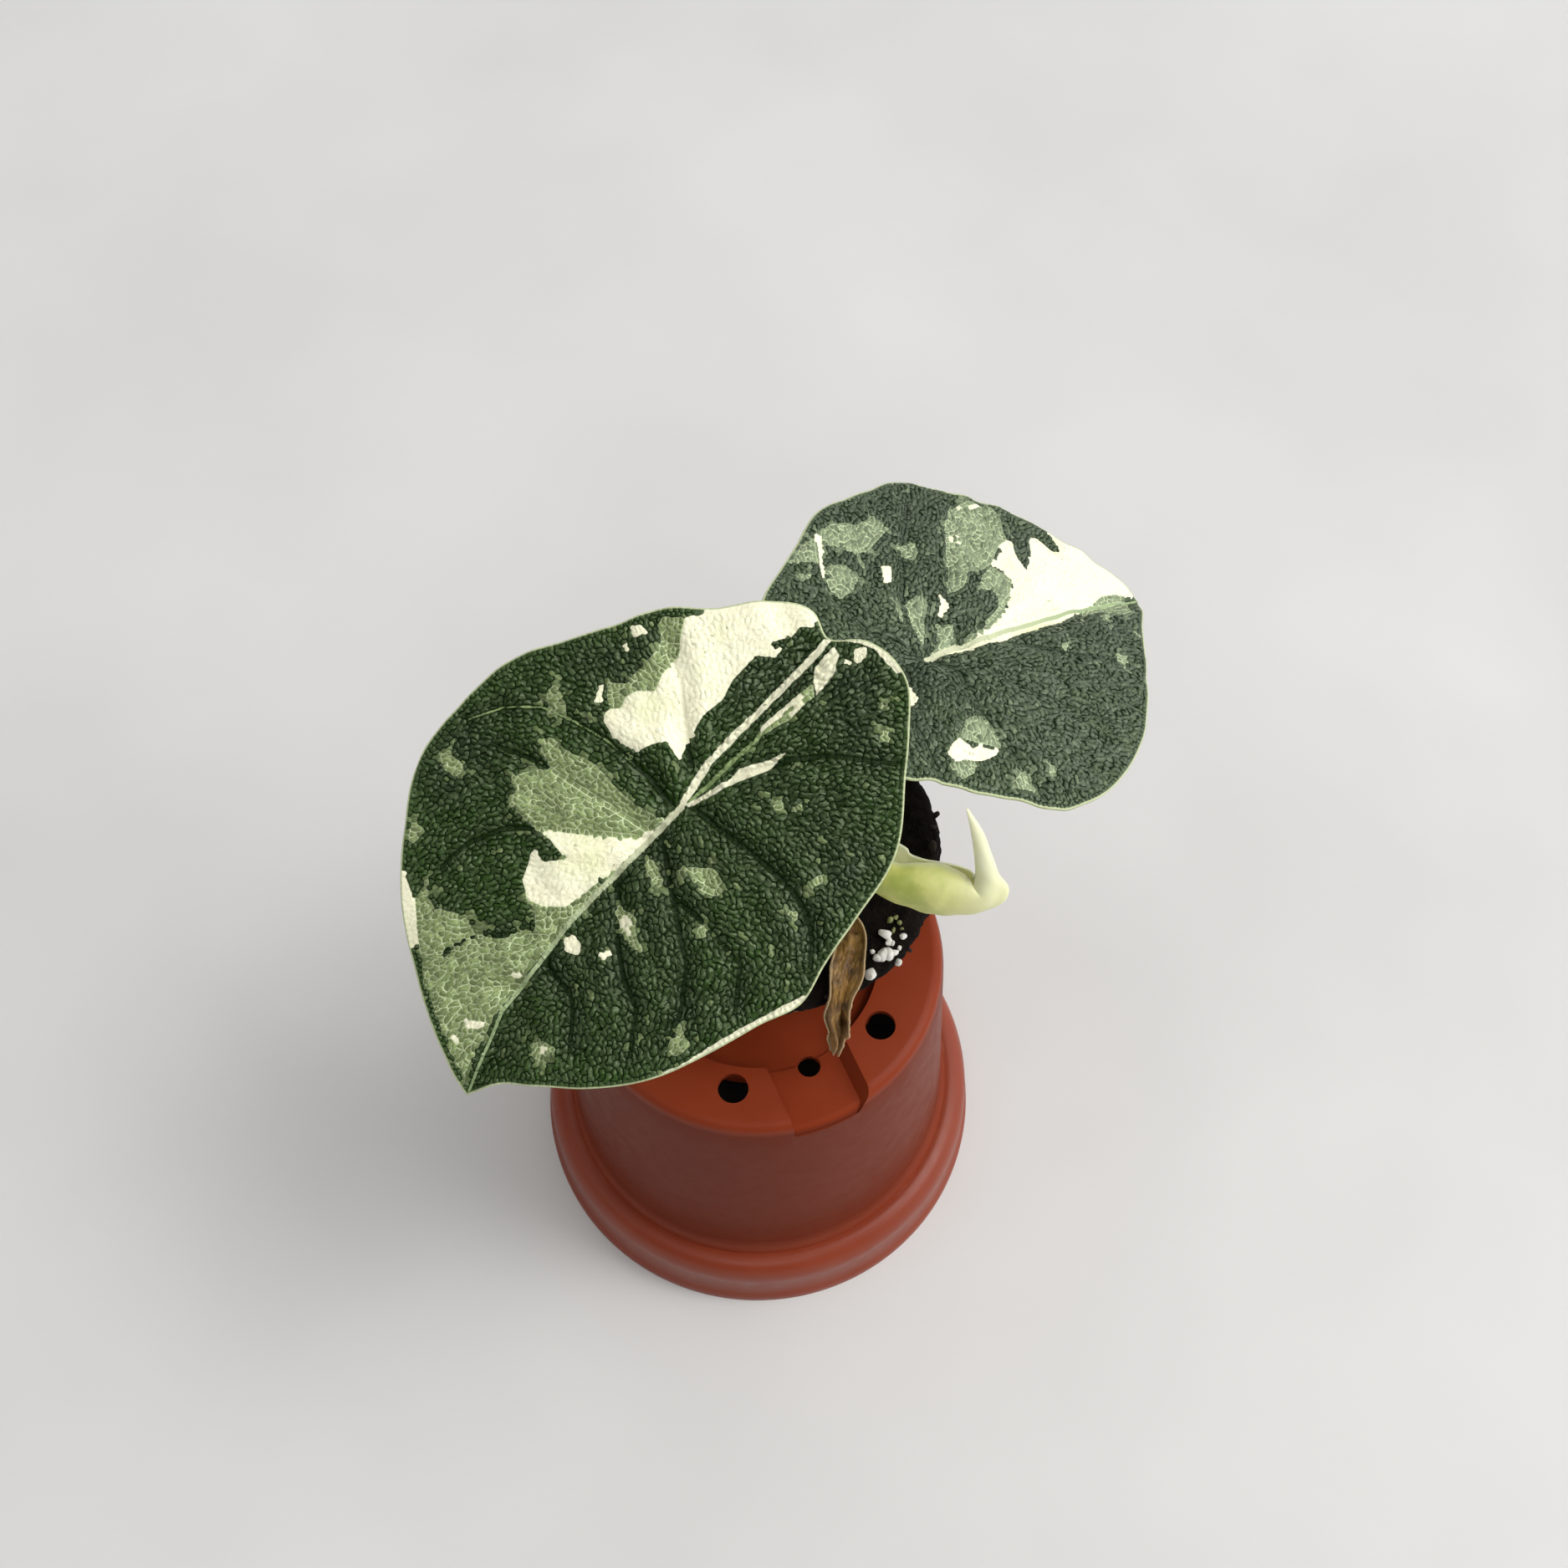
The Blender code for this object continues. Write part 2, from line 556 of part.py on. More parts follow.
socket_z = STEM_TOP - STALK_SOCKET
front_end = underside(FRONT_AT, front_frame, front_shape)
front_socket = make_stalk(
    "petiole_front",
    (
        STEM_CENTRE + Vector((-0.0028, -0.0012, socket_z)),
        Vector((0.0000, 0.0035, 0.1200)),
        Vector((-0.0050, -0.0010, 0.1360)),
        front_end - front_frame[2] * 0.0060,
        front_end,
    ),
    stalk_green,
)
back_end = underside(BACK_AT, back_frame, back_shape)
back_socket = make_stalk(
    "petiole_back",
    (
        STEM_CENTRE + Vector((0.0020, 0.0026, socket_z)),
        Vector((0.0100, 0.0145, 0.1190)),
        Vector((0.0195, 0.0215, 0.1310)),
        back_end - back_frame[2] * 0.0050,
        back_end,
    ),
    stalk_green,
)
sheet("new_leaf", NEW_ROWS, NEW_COLUMNS, new_leaf_spot, NEW_THICKNESS, young_green)
keel = new_leaf_spot(NEW_STALK_AT, 0.5)
below = Vector((-0.10, 0.05, -1.0)).normalized()
new_end = keel + below * (NEW_THICKNESS / 2 + 1.7 * GAP)
new_socket = make_stalk(
    "petiole_new",
    (
        STEM_CENTRE + Vector((0.0030, -0.0026, socket_z)),
        STEM_CENTRE + Vector((0.0062, -0.0065, STEM_TOP + 0.0045)),
        new_end + below * 0.0045,
        new_end,
    ),
    stalk_green,
)
make_stem_base((front_socket, back_socket, new_socket))

sheet("withered_leaf", WITHERED_ROWS, WITHERED_COLUMNS, withered_spot, WITHERED_THICKNESS, dry_brown)
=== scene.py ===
"""A young variegated alocasia standing, out of its pot, on the base of that upturned nursery pot."""

import math

import bmesh
import bpy
import numpy as np
from mathutils import Matrix, Vector, geometry, noise


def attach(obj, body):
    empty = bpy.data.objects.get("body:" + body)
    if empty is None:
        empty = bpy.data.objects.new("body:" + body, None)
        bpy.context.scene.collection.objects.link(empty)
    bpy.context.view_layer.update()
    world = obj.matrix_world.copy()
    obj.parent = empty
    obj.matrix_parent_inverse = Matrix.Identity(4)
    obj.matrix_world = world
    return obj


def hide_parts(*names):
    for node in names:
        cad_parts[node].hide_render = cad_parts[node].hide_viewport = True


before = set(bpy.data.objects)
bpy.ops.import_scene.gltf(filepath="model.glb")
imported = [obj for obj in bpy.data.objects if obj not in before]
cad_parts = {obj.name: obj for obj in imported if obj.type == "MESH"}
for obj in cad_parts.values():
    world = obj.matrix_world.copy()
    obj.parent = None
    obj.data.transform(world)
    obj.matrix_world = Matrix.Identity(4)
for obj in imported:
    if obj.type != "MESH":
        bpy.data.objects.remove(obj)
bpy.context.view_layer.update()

# Nursery pot, upside down.
# A thin moulded pot of dusty terracotta plastic: a tapered wall, a rounded collar whose skirt ends in a small
# lip, and a base with a sunk middle, three channels and nine drain holes. It stands on its rim.

POT_AXIS = Vector((-0.00724, -0.00997, 0.0))
POT_HEIGHT, POT_BASE_R, POT_RIM_R, POT_WALL = 0.080, 0.0347, 0.0453, 0.0013
POT_CORNER, POT_EDGE, WALL_SPREAD = 0.0022, 0.00065, 0.0003
GROOVE_R, GROOVE_Z, GROOVE_RISE = 0.0384, 0.0168, 0.0016
COLLAR_R, COLLAR_WIDTH, COLLAR_Z, COLLAR_RISE = 0.0403, 0.0040, 0.0106, 0.0053
COLLAR_START, COLLAR_TURN = 100, 112
SKIRT_R, SKIRT_Z, SKIRT_SPREAD, SKIRT_END = 0.0442, 0.0060, 0.0003, 0.0008
LIP_Z, LIP_TURN, LIP_EDGE = 0.0028, 0.0005, 0.0001
RECESS_R, RECESS_DEPTH = 0.0227, 0.0034
CHANNEL_HALF_WIDTH, CHANNEL_DEPTH, CHANNEL_SLOPE, CHANNEL_LIP = 0.0077, 0.0028, 0.7, 0.0016
CHANNEL_TURNS = [math.radians(-64.8) + k * math.tau / 3 for k in range(3)]
PAD_HOLE_R, PAD_HOLE_AT, PAD_HOLE_TURN = 0.0028, 0.0269, math.radians(33.2)
CHANNEL_HOLE_R, CHANNEL_HOLE_AT = 0.0021, 0.0234
CUT_REACH = 0.010
POT_STEPS, RECESS_STEPS, HOLE_STEPS = 144, 96, 32
CORNER_STEPS, WALL_STEPS, COLLAR_STEPS = 6, 9, 15
# The third clay colour on the next line is painted shade, laid on the drawn wall between the collar and the
# base.
CLAY_DARK, CLAY_LIGHT, CLAY_WALL_SHADE = (0.205, 0.028, 0.008), (0.262, 0.043, 0.014), (0.130, 0.023, 0.010)
CLAY_SCUFF, CLAY_SPECK = (0.32, 0.15, 0.10), (0.10, 0.030, 0.014)
WALL_FOOT_BAND, WALL_TOP_BAND, WALL_REACH = (0.0150, 0.0200), (0.0768, 0.0785), (0.0340, 0.0346)


def add(tree, kind, inputs=(), **settings):
    """Adds a shader node, with its settings, and its inputs as constants or as outputs to link."""
    made = tree.nodes.new("ShaderNode" + kind)
    for key, value in settings.items():
        setattr(made, key, value)
    for key, value in dict(inputs).items():
        if isinstance(value, bpy.types.NodeSocket):
            tree.links.new(value, made.inputs[key])
        else:
            made.inputs[key].default_value = value
    return made


def mixed(tree, share, first, second):
    """One colour over another, by a share from 0 to 1."""
    sides = [(*c, 1.0) if isinstance(c, tuple) else c for c in (first, second)]
    node = add(tree, "Mix", {0: share, 6: sides[0], 7: sides[1]}, data_type="RGBA")
    return node.outputs[2]


def ranged(tree, value, low, high, to_low=0.0, to_high=1.0):
    """A value brought from one range to another, held at its ends."""
    inputs = {"Value": value, "From Min": low, "From Max": high, "To Min": to_low, "To Max": to_high}
    return add(tree, "MapRange", inputs).outputs[0]


def maths(tree, operation, first, second=0.0):
    """One sum worked out in a shader, on two values."""
    return add(tree, "Math", {0: first, 1: second}, operation=operation).outputs[0]


def times(tree, first, second):
    """Two shader values multiplied."""
    return maths(tree, "MULTIPLY", first, second)


def grain(tree, scale, detail=3.0, stretch=None, roughness=0.55):
    """Noise fixed to the object, with its features about 1/scale metres across."""
    place = add(tree, "TexCoord").outputs["Object"]
    if stretch:
        place = add(tree, "Mapping", {"Vector": place, "Scale": stretch}).outputs[0]
    inputs = {"Vector": place, "Scale": scale, "Detail": detail, "Roughness": roughness}
    return add(tree, "TexNoise", inputs).outputs[0]


def finish(name, roughness, **constants):
    """A new material with its shader's constants set, its node tree and its shader."""
    mat = bpy.data.materials.new(name)
    mat.use_nodes = True
    shader = mat.node_tree.nodes["Principled BSDF"]
    shader.inputs["Roughness"].default_value = roughness
    for key, value in constants.items():
        shader.inputs[key.replace("_", " ")].default_value = value
    return mat, mat.node_tree, shader


def relief(tree, shader, height, distance, strength=1.0):
    """Fine relief under the light, for what is too small to be in the mesh."""
    inputs = {"Height": height, "Distance": distance, "Strength": strength}
    tree.links.new(add(tree, "Bump", inputs).outputs[0], shader.inputs["Normal"])


def piece(name, mesh, mats, slot, *nodes):
    """Puts a mesh in the scene as a piece that stands for those solids."""
    obj = bpy.data.objects.new(name, mesh)
    bpy.context.scene.collection.objects.link(obj)
    for mat in mats:
        mesh.materials.append(mat)
    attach(obj, "root")
    if nodes:
        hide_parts(*nodes)


def smooth(mesh, degrees):
    """Smooth faces, parted where they meet more sharply than the angle."""
    mesh.shade_smooth()
    mesh.set_sharp_from_angle(angle=math.radians(degrees))


def pot_skin(inset):
    """Outer skin from the middle of the base to the rim, or the inner one when inset by the wall."""
    top = POT_HEIGHT - inset
    skin = [(0.0, top)]
    for step in range(CORNER_STEPS):
        a = math.radians(90 * step / (CORNER_STEPS - 1))
        radius = POT_BASE_R - POT_CORNER * (1 - math.sin(a)) - inset
        skin.append((radius, top - POT_CORNER * (1 - math.cos(a))))
    wall_top = (POT_BASE_R + WALL_SPREAD - inset, POT_HEIGHT - 1.3 * CHANNEL_DEPTH - inset)
    wall_foot = (GROOVE_R - inset, GROOVE_Z + GROOVE_RISE)
    for step in range(WALL_STEPS):
        t = step / (WALL_STEPS - 1)
        skin.append(tuple(a + (b - a) * t for a, b in zip(wall_top, wall_foot)))
    skin.append((GROOVE_R + 0.35 * GROOVE_RISE - inset, GROOVE_Z + 0.3 * GROOVE_RISE - inset / 2))
    for step in range(COLLAR_STEPS):
        a = math.radians(COLLAR_START - COLLAR_TURN * step / (COLLAR_STEPS - 1))
        radius = COLLAR_R + COLLAR_WIDTH * math.cos(a) - inset
        skin.append((radius, COLLAR_Z + COLLAR_RISE * math.sin(a) - inset / 3))
    skin += [(SKIRT_R - inset, SKIRT_Z), (SKIRT_R + SKIRT_SPREAD - inset, LIP_Z + SKIRT_END)]
    skin += [(POT_RIM_R - LIP_TURN - inset, LIP_Z), (POT_RIM_R - LIP_EDGE - inset, LIP_Z * 0.75)]
    return skin + [(POT_RIM_R - inset, LIP_Z * 0.35), (POT_RIM_R - inset, -inset), (0.0, -inset)]


def turned(skin, steps):
    """A closed body turned about the vertical axis."""
    bm = bmesh.new()
    rings = []
    for r, z in skin:
        if r == 0.0:
            rings.append([bm.verts.new((0, 0, z))] * steps)
            continue
        turns = [math.tau * k / steps for k in range(steps)]
        rings.append([bm.verts.new((r * math.cos(a), r * math.sin(a), z)) for a in turns])
    for above, below in zip(rings[:-1], rings[1:]):
        for k in range(steps):
            ring = [above[k], below[k], below[(k + 1) % steps], above[(k + 1) % steps]]
            bm.faces.new(list(dict.fromkeys(ring)))
    return bm


def as_object(bm, name):
    """Puts a body in the scene for a while, to cut or to be cut."""
    mesh = bpy.data.meshes.new(name)
    bm.to_mesh(mesh)
    bm.free()
    obj = bpy.data.objects.new(name, mesh)
    bpy.context.scene.collection.objects.link(obj)
    return obj


def bake(obj):
    """Gives an object the mesh that its modifiers make of it."""
    bpy.context.view_layer.update()
    seen = obj.evaluated_get(bpy.context.evaluated_depsgraph_get())
    mesh = bpy.data.meshes.new_from_object(seen)
    obj.modifiers.clear()
    obj.data = mesh


def cut_by(obj, cutters, how="DIFFERENCE"):
    """Takes the cutters out of an object, one after another, or keeps what it shares with them."""
    for cutter in cutters:
        step = obj.modifiers.new("cut", "BOOLEAN")
        step.operation, step.solver, step.object = how, "EXACT", cutter
    bake(obj)
    for cutter in cutters:
        bpy.data.objects.remove(cutter)
    return obj


def base_cutters(spread):
    """The sunk middle and the three channels, widened for the inner skin."""
    floor, radius = POT_HEIGHT - RECESS_DEPTH - spread, RECESS_R + spread
    recess = [(0.0, floor + CUT_REACH), (radius, floor + CUT_REACH), (radius, floor), (0.0, floor)]
    made = [as_object(turned(recess, RECESS_STEPS), "recess")]
    inner, outer = RECESS_R - CHANNEL_HALF_WIDTH / 2, POT_BASE_R + CUT_REACH
    floor = POT_HEIGHT - CHANNEL_DEPTH - spread
    mouth = []
    for step in range(CORNER_STEPS):
        a = math.radians(90 * step / (CORNER_STEPS - 1))
        radius = POT_BASE_R - spread + CHANNEL_LIP * (math.sin(a) - 1)
        mouth.append((radius, floor + CHANNEL_LIP * (math.cos(a) - 1)))
    channel = [(0.0, floor + CUT_REACH), (outer, floor + CUT_REACH), (outer, mouth[-1][1])]
    channel += mouth[::-1] + [(0.0, floor)]
    for turn in CHANNEL_TURNS:
        sector = bmesh.new()
        bmesh.ops.create_cube(sector, size=1.0)
        size = (outer - inner, 2 * (CHANNEL_HALF_WIDTH + spread), 3 * CUT_REACH)
        bmesh.ops.scale(sector, vec=size, verts=sector.verts)
        for vert in sector.verts:
            if vert.co.y > 0:
                vert.co.y += CHANNEL_SLOPE * (vert.co.z - CHANNEL_DEPTH)
        bmesh.ops.translate(sector, vec=((outer + inner) / 2, 0, floor), verts=sector.verts)
        bmesh.ops.rotate(sector, matrix=Matrix.Rotation(turn, 3, "Z"), verts=sector.verts)
        body = as_object(turned(channel, POT_STEPS), "channel")
        made.append(cut_by(body, [as_object(sector, "sector")], "INTERSECT"))
    return made


def drain_cutters():
    """Upright rods for the drain holes: one in each channel, and one on each side of it."""
    made = []
    for turn in CHANNEL_TURNS:
        holes = [(turn, CHANNEL_HOLE_AT, CHANNEL_HOLE_R)]
        holes += [(turn + side * PAD_HOLE_TURN, PAD_HOLE_AT, PAD_HOLE_R) for side in (-1, 1)]
        for angle, at, radius in holes:
            rod = [(0.0, CUT_REACH), (radius, CUT_REACH), (radius, -CUT_REACH), (0.0, -CUT_REACH)]
            bm = turned(rod, HOLE_STEPS)
            place = (at * math.cos(angle), at * math.sin(angle), POT_HEIGHT)
            bmesh.ops.translate(bm, vec=place, verts=bm.verts)
            made.append(as_object(bm, "drain"))
    return made


def terracotta_plastic():
    """Clay-red plastic, glossier on the base and the collar and dull on the wall between them, where painted
    shade darkens its colour.
    """
    mat, tree, shader = finish("terracotta_plastic", 0.42)
    scuffed = ranged(tree, grain(tree, 90, 4, (1, 1, 0.25)), 0.45, 0.75)
    specks = ranged(tree, grain(tree, 2600, 2), 0.66, 0.76)
    here = add(tree, "TexCoord").outputs["Object"]
    height = add(tree, "SeparateXYZ", {0: here}).outputs[2]
    level = {"Vector": here, "Location": (-POT_AXIS.x, -POT_AXIS.y, 0), "Scale": (1, 1, 0)}
    level = add(tree, "Mapping", level).outputs[0]
    reach = add(tree, "VectorMath", {0: level}, operation="LENGTH").outputs["Value"]
    # Painted shade: the wall between the collar's foot and the base is darkened in its colour.
    wall_shade_mask = times(tree, ranged(tree, height, *WALL_FOOT_BAND), ranged(tree, height, *WALL_TOP_BAND[::-1]))
    wall_shade_mask = times(tree, wall_shade_mask, ranged(tree, reach, *WALL_REACH))
    colour = mixed(tree, grain(tree, 70, 4), CLAY_DARK, CLAY_LIGHT)
    colour = mixed(tree, times(tree, wall_shade_mask, 0.75), colour, CLAY_WALL_SHADE)
    colour = mixed(tree, times(tree, scuffed, 0.03), colour, CLAY_SCUFF)
    colour = mixed(tree, times(tree, specks, 0.12), colour, CLAY_SPECK)
    collar_gloss = ranged(tree, height, *WALL_FOOT_BAND, 0.36, 0.03)
    base_gloss = ranged(tree, height, *WALL_TOP_BAND, 0.0, 0.08)
    gloss = maths(tree, "ADD", collar_gloss, base_gloss)
    tree.links.new(colour, shader.inputs["Base Color"])
    tree.links.new(gloss, shader.inputs["Specular IOR Level"])
    tree.links.new(ranged(tree, grain(tree, 320, 4), 0.3, 0.7, 0.33, 0.42), shader.inputs["Roughness"])
    relief(tree, shader, grain(tree, 1500, 3), 0.00005, 0.25)
    return mat


shell = as_object(turned(pot_skin(0.0), POT_STEPS), "shell")
cut_by(shell, base_cutters(0.0))
hollow = as_object(turned(pot_skin(POT_WALL), POT_STEPS), "hollow")
cut_by(hollow, base_cutters(POT_WALL))
cut_by(shell, [hollow])
cut_by(shell, drain_cutters())
rounding = shell.modifiers.new("edges", "BEVEL")
rounding.width, rounding.segments, rounding.limit_method = POT_EDGE, 3, "ANGLE"
rounding.angle_limit = math.radians(38)
bake(shell)
pot_mesh = shell.data
pot_mesh.transform(Matrix.Translation(POT_AXIS))
bpy.data.objects.remove(shell)
smooth(pot_mesh, 36)
piece("pot_shell", pot_mesh, [terracotta_plastic()], "pot", "pot")

# Root ball.
# A plug of dark, crumbly peat that keeps the shape of the cell it grew in and rests on the pot's base. White
# perlite, bits of bark and a few green grains are bedded in it, and thin roots lie on its sides.

BALL_CENTRE = POT_AXIS + Vector((0.0012, 0.0106, 0.0))
BALL_FOOT, BALL_TOP, BALL_FOOT_R, BALL_TOP_R = 0.0803, 0.1062, 0.0205, 0.0318
BALL_AROUND, BALL_ROWS = 300, 150
BALL_RISE = BALL_TOP - BALL_FOOT
BALL_SHAPE = (
    (0.00, 0.0, BALL_FOOT),
    (0.14, BALL_FOOT_R * 0.55, BALL_FOOT),
    (0.24, BALL_FOOT_R, BALL_FOOT),
    (0.32, BALL_FOOT_R + 0.0024, BALL_FOOT + 0.10 * BALL_RISE),
    (0.46, BALL_FOOT_R + 0.0056, BALL_FOOT + 0.40 * BALL_RISE),
    (0.60, BALL_TOP_R - 0.0016, BALL_FOOT + 0.72 * BALL_RISE),
    (0.68, BALL_TOP_R, BALL_FOOT + 0.90 * BALL_RISE),
    (0.75, BALL_TOP_R - 0.0020, BALL_TOP),
    (0.86, BALL_TOP_R * 0.60, BALL_TOP + 0.0004),
    (1.00, 0.0, BALL_TOP + 0.0004),
)
BALL_LUMP, CLOD, CRUMB, GRIT = 0.0014, 0.0034, 0.0013, 0.0009
CLOD_RISE, CRUMB_RISE, GRIT_RISE = 0.00085, 0.00045, 0.00030
PEAT_DARK, PEAT_BROWN = (0.0022, 0.0016, 0.0012), (0.007, 0.0045, 0.003)
PEAT_FIBRE, PEAT_FLECK = (0.030, 0.018, 0.010), (0.12, 0.09, 0.055)


def through(x, knots):
    """A smooth curve through (x, value) knots, read at each x."""
    x = np.atleast_1d(np.asarray(x, float))
    xs = np.array([k[0] for k in knots], float)
    ys = np.array([k[1:] for k in knots], float)
    slopes = np.gradient(ys, xs, axis=0)
    i = np.clip(np.searchsorted(xs, x) - 1, 0, len(xs) - 2)
    span = (xs[i + 1] - xs[i])[:, None]
    t = (x - xs[i])[:, None] / span
    start, end = (1 + 2 * t) * (1 - t) ** 2, t * t * (3 - 2 * t)
    lead, tail = t * (1 - t) ** 2 * span, -t * t * (1 - t) * span
    return start * ys[i] + end * ys[i + 1] + lead * slopes[i] + tail * slopes[i + 1]


def ball_spot(turn, share):
    """A point of the plug's lumpy side, top or foot, before its crumbs."""
    radius, z = through(share, BALL_SHAPE)[0]
    above_foot = min(1.0, max(0.0, (z - BALL_FOOT) / (0.15 * BALL_RISE)))
    lump = noise.noise(Vector((math.cos(turn), math.sin(turn), 0.0)) * 2.6 + Vector((0, 0, z * 160)))
    radius = max(radius, 0.0) + BALL_LUMP * lump * above_foot * min(1.0, radius / (BALL_FOOT_R / 2))
    return Vector((radius * math.cos(turn), radius * math.sin(turn), z))


def crumbs(place):
    """How far the peat stands out: clods, smaller crumbs between them, and a fine broken grain."""
    clods = noise.voronoi(place / CLOD)[0]
    bits = noise.voronoi(place / CRUMB + Vector((3, 1, 7)))[0]
    broken = noise.turbulence(place / GRIT, 3, True)
    return CLOD_RISE * (0.55 - clods[0]) + CRUMB_RISE * (0.5 - bits[0]) + GRIT_RISE * (broken - 0.6)


def peat():
    """Near-black peat with brown fibres and a few pale flecks."""
    mat, tree, shader = finish("peat", 0.95, Specular_IOR_Level=0.12)
    coarse, fine = grain(tree, 420, 4), grain(tree, 2400, 4)
    colour = mixed(tree, ranged(tree, coarse, 0.38, 0.64), PEAT_DARK, PEAT_BROWN)
    colour = mixed(tree, ranged(tree, fine, 0.60, 0.74), colour, PEAT_FIBRE)
    colour = mixed(tree, ranged(tree, grain(tree, 3400, 2), 0.72, 0.78), colour, PEAT_FLECK)
    tree.links.new(colour, shader.inputs["Base Color"])
    relief(tree, shader, fine, 0.0004, 0.9)
    return mat


def make_plug():
    """The plug, ring by ring from its foot to the middle of its top, with crumbs raised off it."""
    spots, faces = [], []
    up = Vector((0, 0, 1))
    for share in np.linspace(0.10, 1.0, BALL_ROWS):
        for k in range(BALL_AROUND):
            place = ball_spot(math.tau * k / BALL_AROUND, share)
            out = Vector((place.x, place.y, 0.0)).normalized() if share < 0.72 else up
            out = out.lerp(up, float(np.clip((share - 0.66) / 0.10, 0, 1))).normalized()
            rough = crumbs(place + BALL_CENTRE) * float(np.clip((share - 0.18) / 0.10, 0, 1))
            spots.append(place + BALL_CENTRE + out * rough)
    for row in range(BALL_ROWS - 1):
        for k in range(BALL_AROUND):
            a, b = row * BALL_AROUND + k, row * BALL_AROUND + (k + 1) % BALL_AROUND
            faces.append((a, b, b + BALL_AROUND, a + BALL_AROUND))
    faces.append(tuple(reversed(range(BALL_AROUND))))
    mesh = bpy.data.meshes.new("peat_plug")
    mesh.from_pydata(spots, [], faces)
    merge = bmesh.new()
    merge.from_mesh(mesh)
    bmesh.ops.remove_doubles(merge, verts=merge.verts, dist=0.00001)
    merge.to_mesh(mesh)
    merge.free()
    mesh.shade_smooth()
    return mesh


piece("peat_plug", make_plug(), [peat()], "peat", "root_ball")


def grains(name, count, sizes, flat, mat, seed, where):
    """Small broken grains half bedded in the plug, at (turn in degrees, share) spots that where picks."""
    rng = np.random.default_rng(seed)
    whole = bmesh.new()
    for _ in range(count):
        turn, share = where(rng)
        place = ball_spot(math.radians(turn), share)
        out = Vector((place.x, place.y, 0.0)).normalized()
        out = out.lerp(Vector((0, 0, 1)), float(share > 0.72)).normalized()
        size = sizes[0] + (sizes[1] - sizes[0]) * rng.random() ** 2
        rounds = 2 if size > FINE_GRAIN else 1
        made = bmesh.ops.create_icosphere(whole, subdivisions=rounds, radius=size / 2)["verts"]
        chips = rng.normal(size=(GRAIN_CHIPS, 3))
        chips /= np.linalg.norm(chips, axis=1)[:, None]
        left = (0.25 + 0.20 * rng.random(GRAIN_CHIPS)) * size
        turned_by = Matrix.Rotation(rng.random() * 6, 3, Vector(rng.random(3)).normalized())
        squash = Matrix.Diagonal((1.0, 1.0 - flat * rng.random(), 1.0 - flat * rng.random()))
        for vert in made:
            co = np.array(vert.co)
            for chip, kept in zip(chips, left):
                co -= max(0.0, float(co @ chip) - kept) * chip
            vert.co = turned_by @ (squash @ Vector(co)) + place + BALL_CENTRE + out * size * GRAIN_OUT
    mesh = bpy.data.meshes.new(name)
    whole.to_mesh(mesh)
    whole.free()
    smooth(mesh, 50)
    piece(name, mesh, [mat], "peat")


def plain_grain(name, dark, light, roughness, scale=1600):
    """A dry, mealy finish between two colours."""
    mat, tree, shader = finish(name, roughness)
    tree.links.new(mixed(tree, grain(tree, scale, 3), dark, light), shader.inputs["Base Color"])
    relief(tree, shader, grain(tree, 3000, 3), 0.00015, 0.6)
    return mat


def anywhere(rng):
    """All over the plug's side and top."""
    return rng.random() * 360, 0.22 + 0.72 * rng.random()


def by_the_rim(rng):
    """In a cluster on the front edge of the top."""
    return rng.normal(-43, 3.6), 0.748 + 0.016 * rng.normal()


def behind_the_rim(rng):
    """Just behind that cluster."""
    return rng.normal(-34, 4), 0.770 + 0.014 * rng.normal()


GRAIN_CHIPS, GRAIN_OUT, FINE_GRAIN = 9, 0.16, 0.0011
perlite = plain_grain("perlite", (0.62, 0.60, 0.55), (0.86, 0.85, 0.82), 0.7)
bark = plain_grain("bark", (0.006, 0.004, 0.003), (0.040, 0.022, 0.012), 0.9, 700)
green_grit = plain_grain("green_grit", (0.12, 0.14, 0.04), (0.30, 0.32, 0.12), 0.5)
grains("perlite", 44, (0.0006, 0.0024), 0.3, perlite, 5, anywhere)
grains("perlite_cluster", 13, (0.0012, 0.0030), 0.3, perlite, 6, by_the_rim)
grains("bark_bits", 260, (0.0006, 0.0028), 0.6, bark, 7, anywhere)
grains("green_grains", 8, (0.0008, 0.0020), 0.2, green_grit, 9, behind_the_rim)


def tube(line, radii, sides, spots, faces, shape=None):
    """Adds a tube along a line of points, with capped ends, to lists of spots and faces."""
    line = np.asarray(line, float)
    ahead = np.gradient(line, axis=0)
    ahead /= np.linalg.norm(ahead, axis=1)[:, None]
    side = np.cross(ahead[0], (0.13, 0.31, 0.94))
    start = len(spots)
    for i, (place, forward) in enumerate(zip(line, ahead)):
        side = side - forward * (side @ forward)
        side /= np.linalg.norm(side)
        other = np.cross(forward, side)
        for k in range(sides):
            a = math.tau * k / sides
            out = radii[i] * (shape(i / (len(line) - 1), a) if shape else 1.0)
            spots.append(place + out * (math.cos(a) * side + math.sin(a) * other))
    for i in range(len(line) - 1):
        for k in range(sides):
            a, b = start + i * sides + k, start + i * sides + (k + 1) % sides
            faces.append((a, b, b + sides, a + sides))
    faces.append(tuple(start + k for k in reversed(range(sides))))
    faces.append(tuple(start + (len(line) - 1) * sides + k for k in range(sides)))


ROOTS, ROOT_SIDES = 46, 6


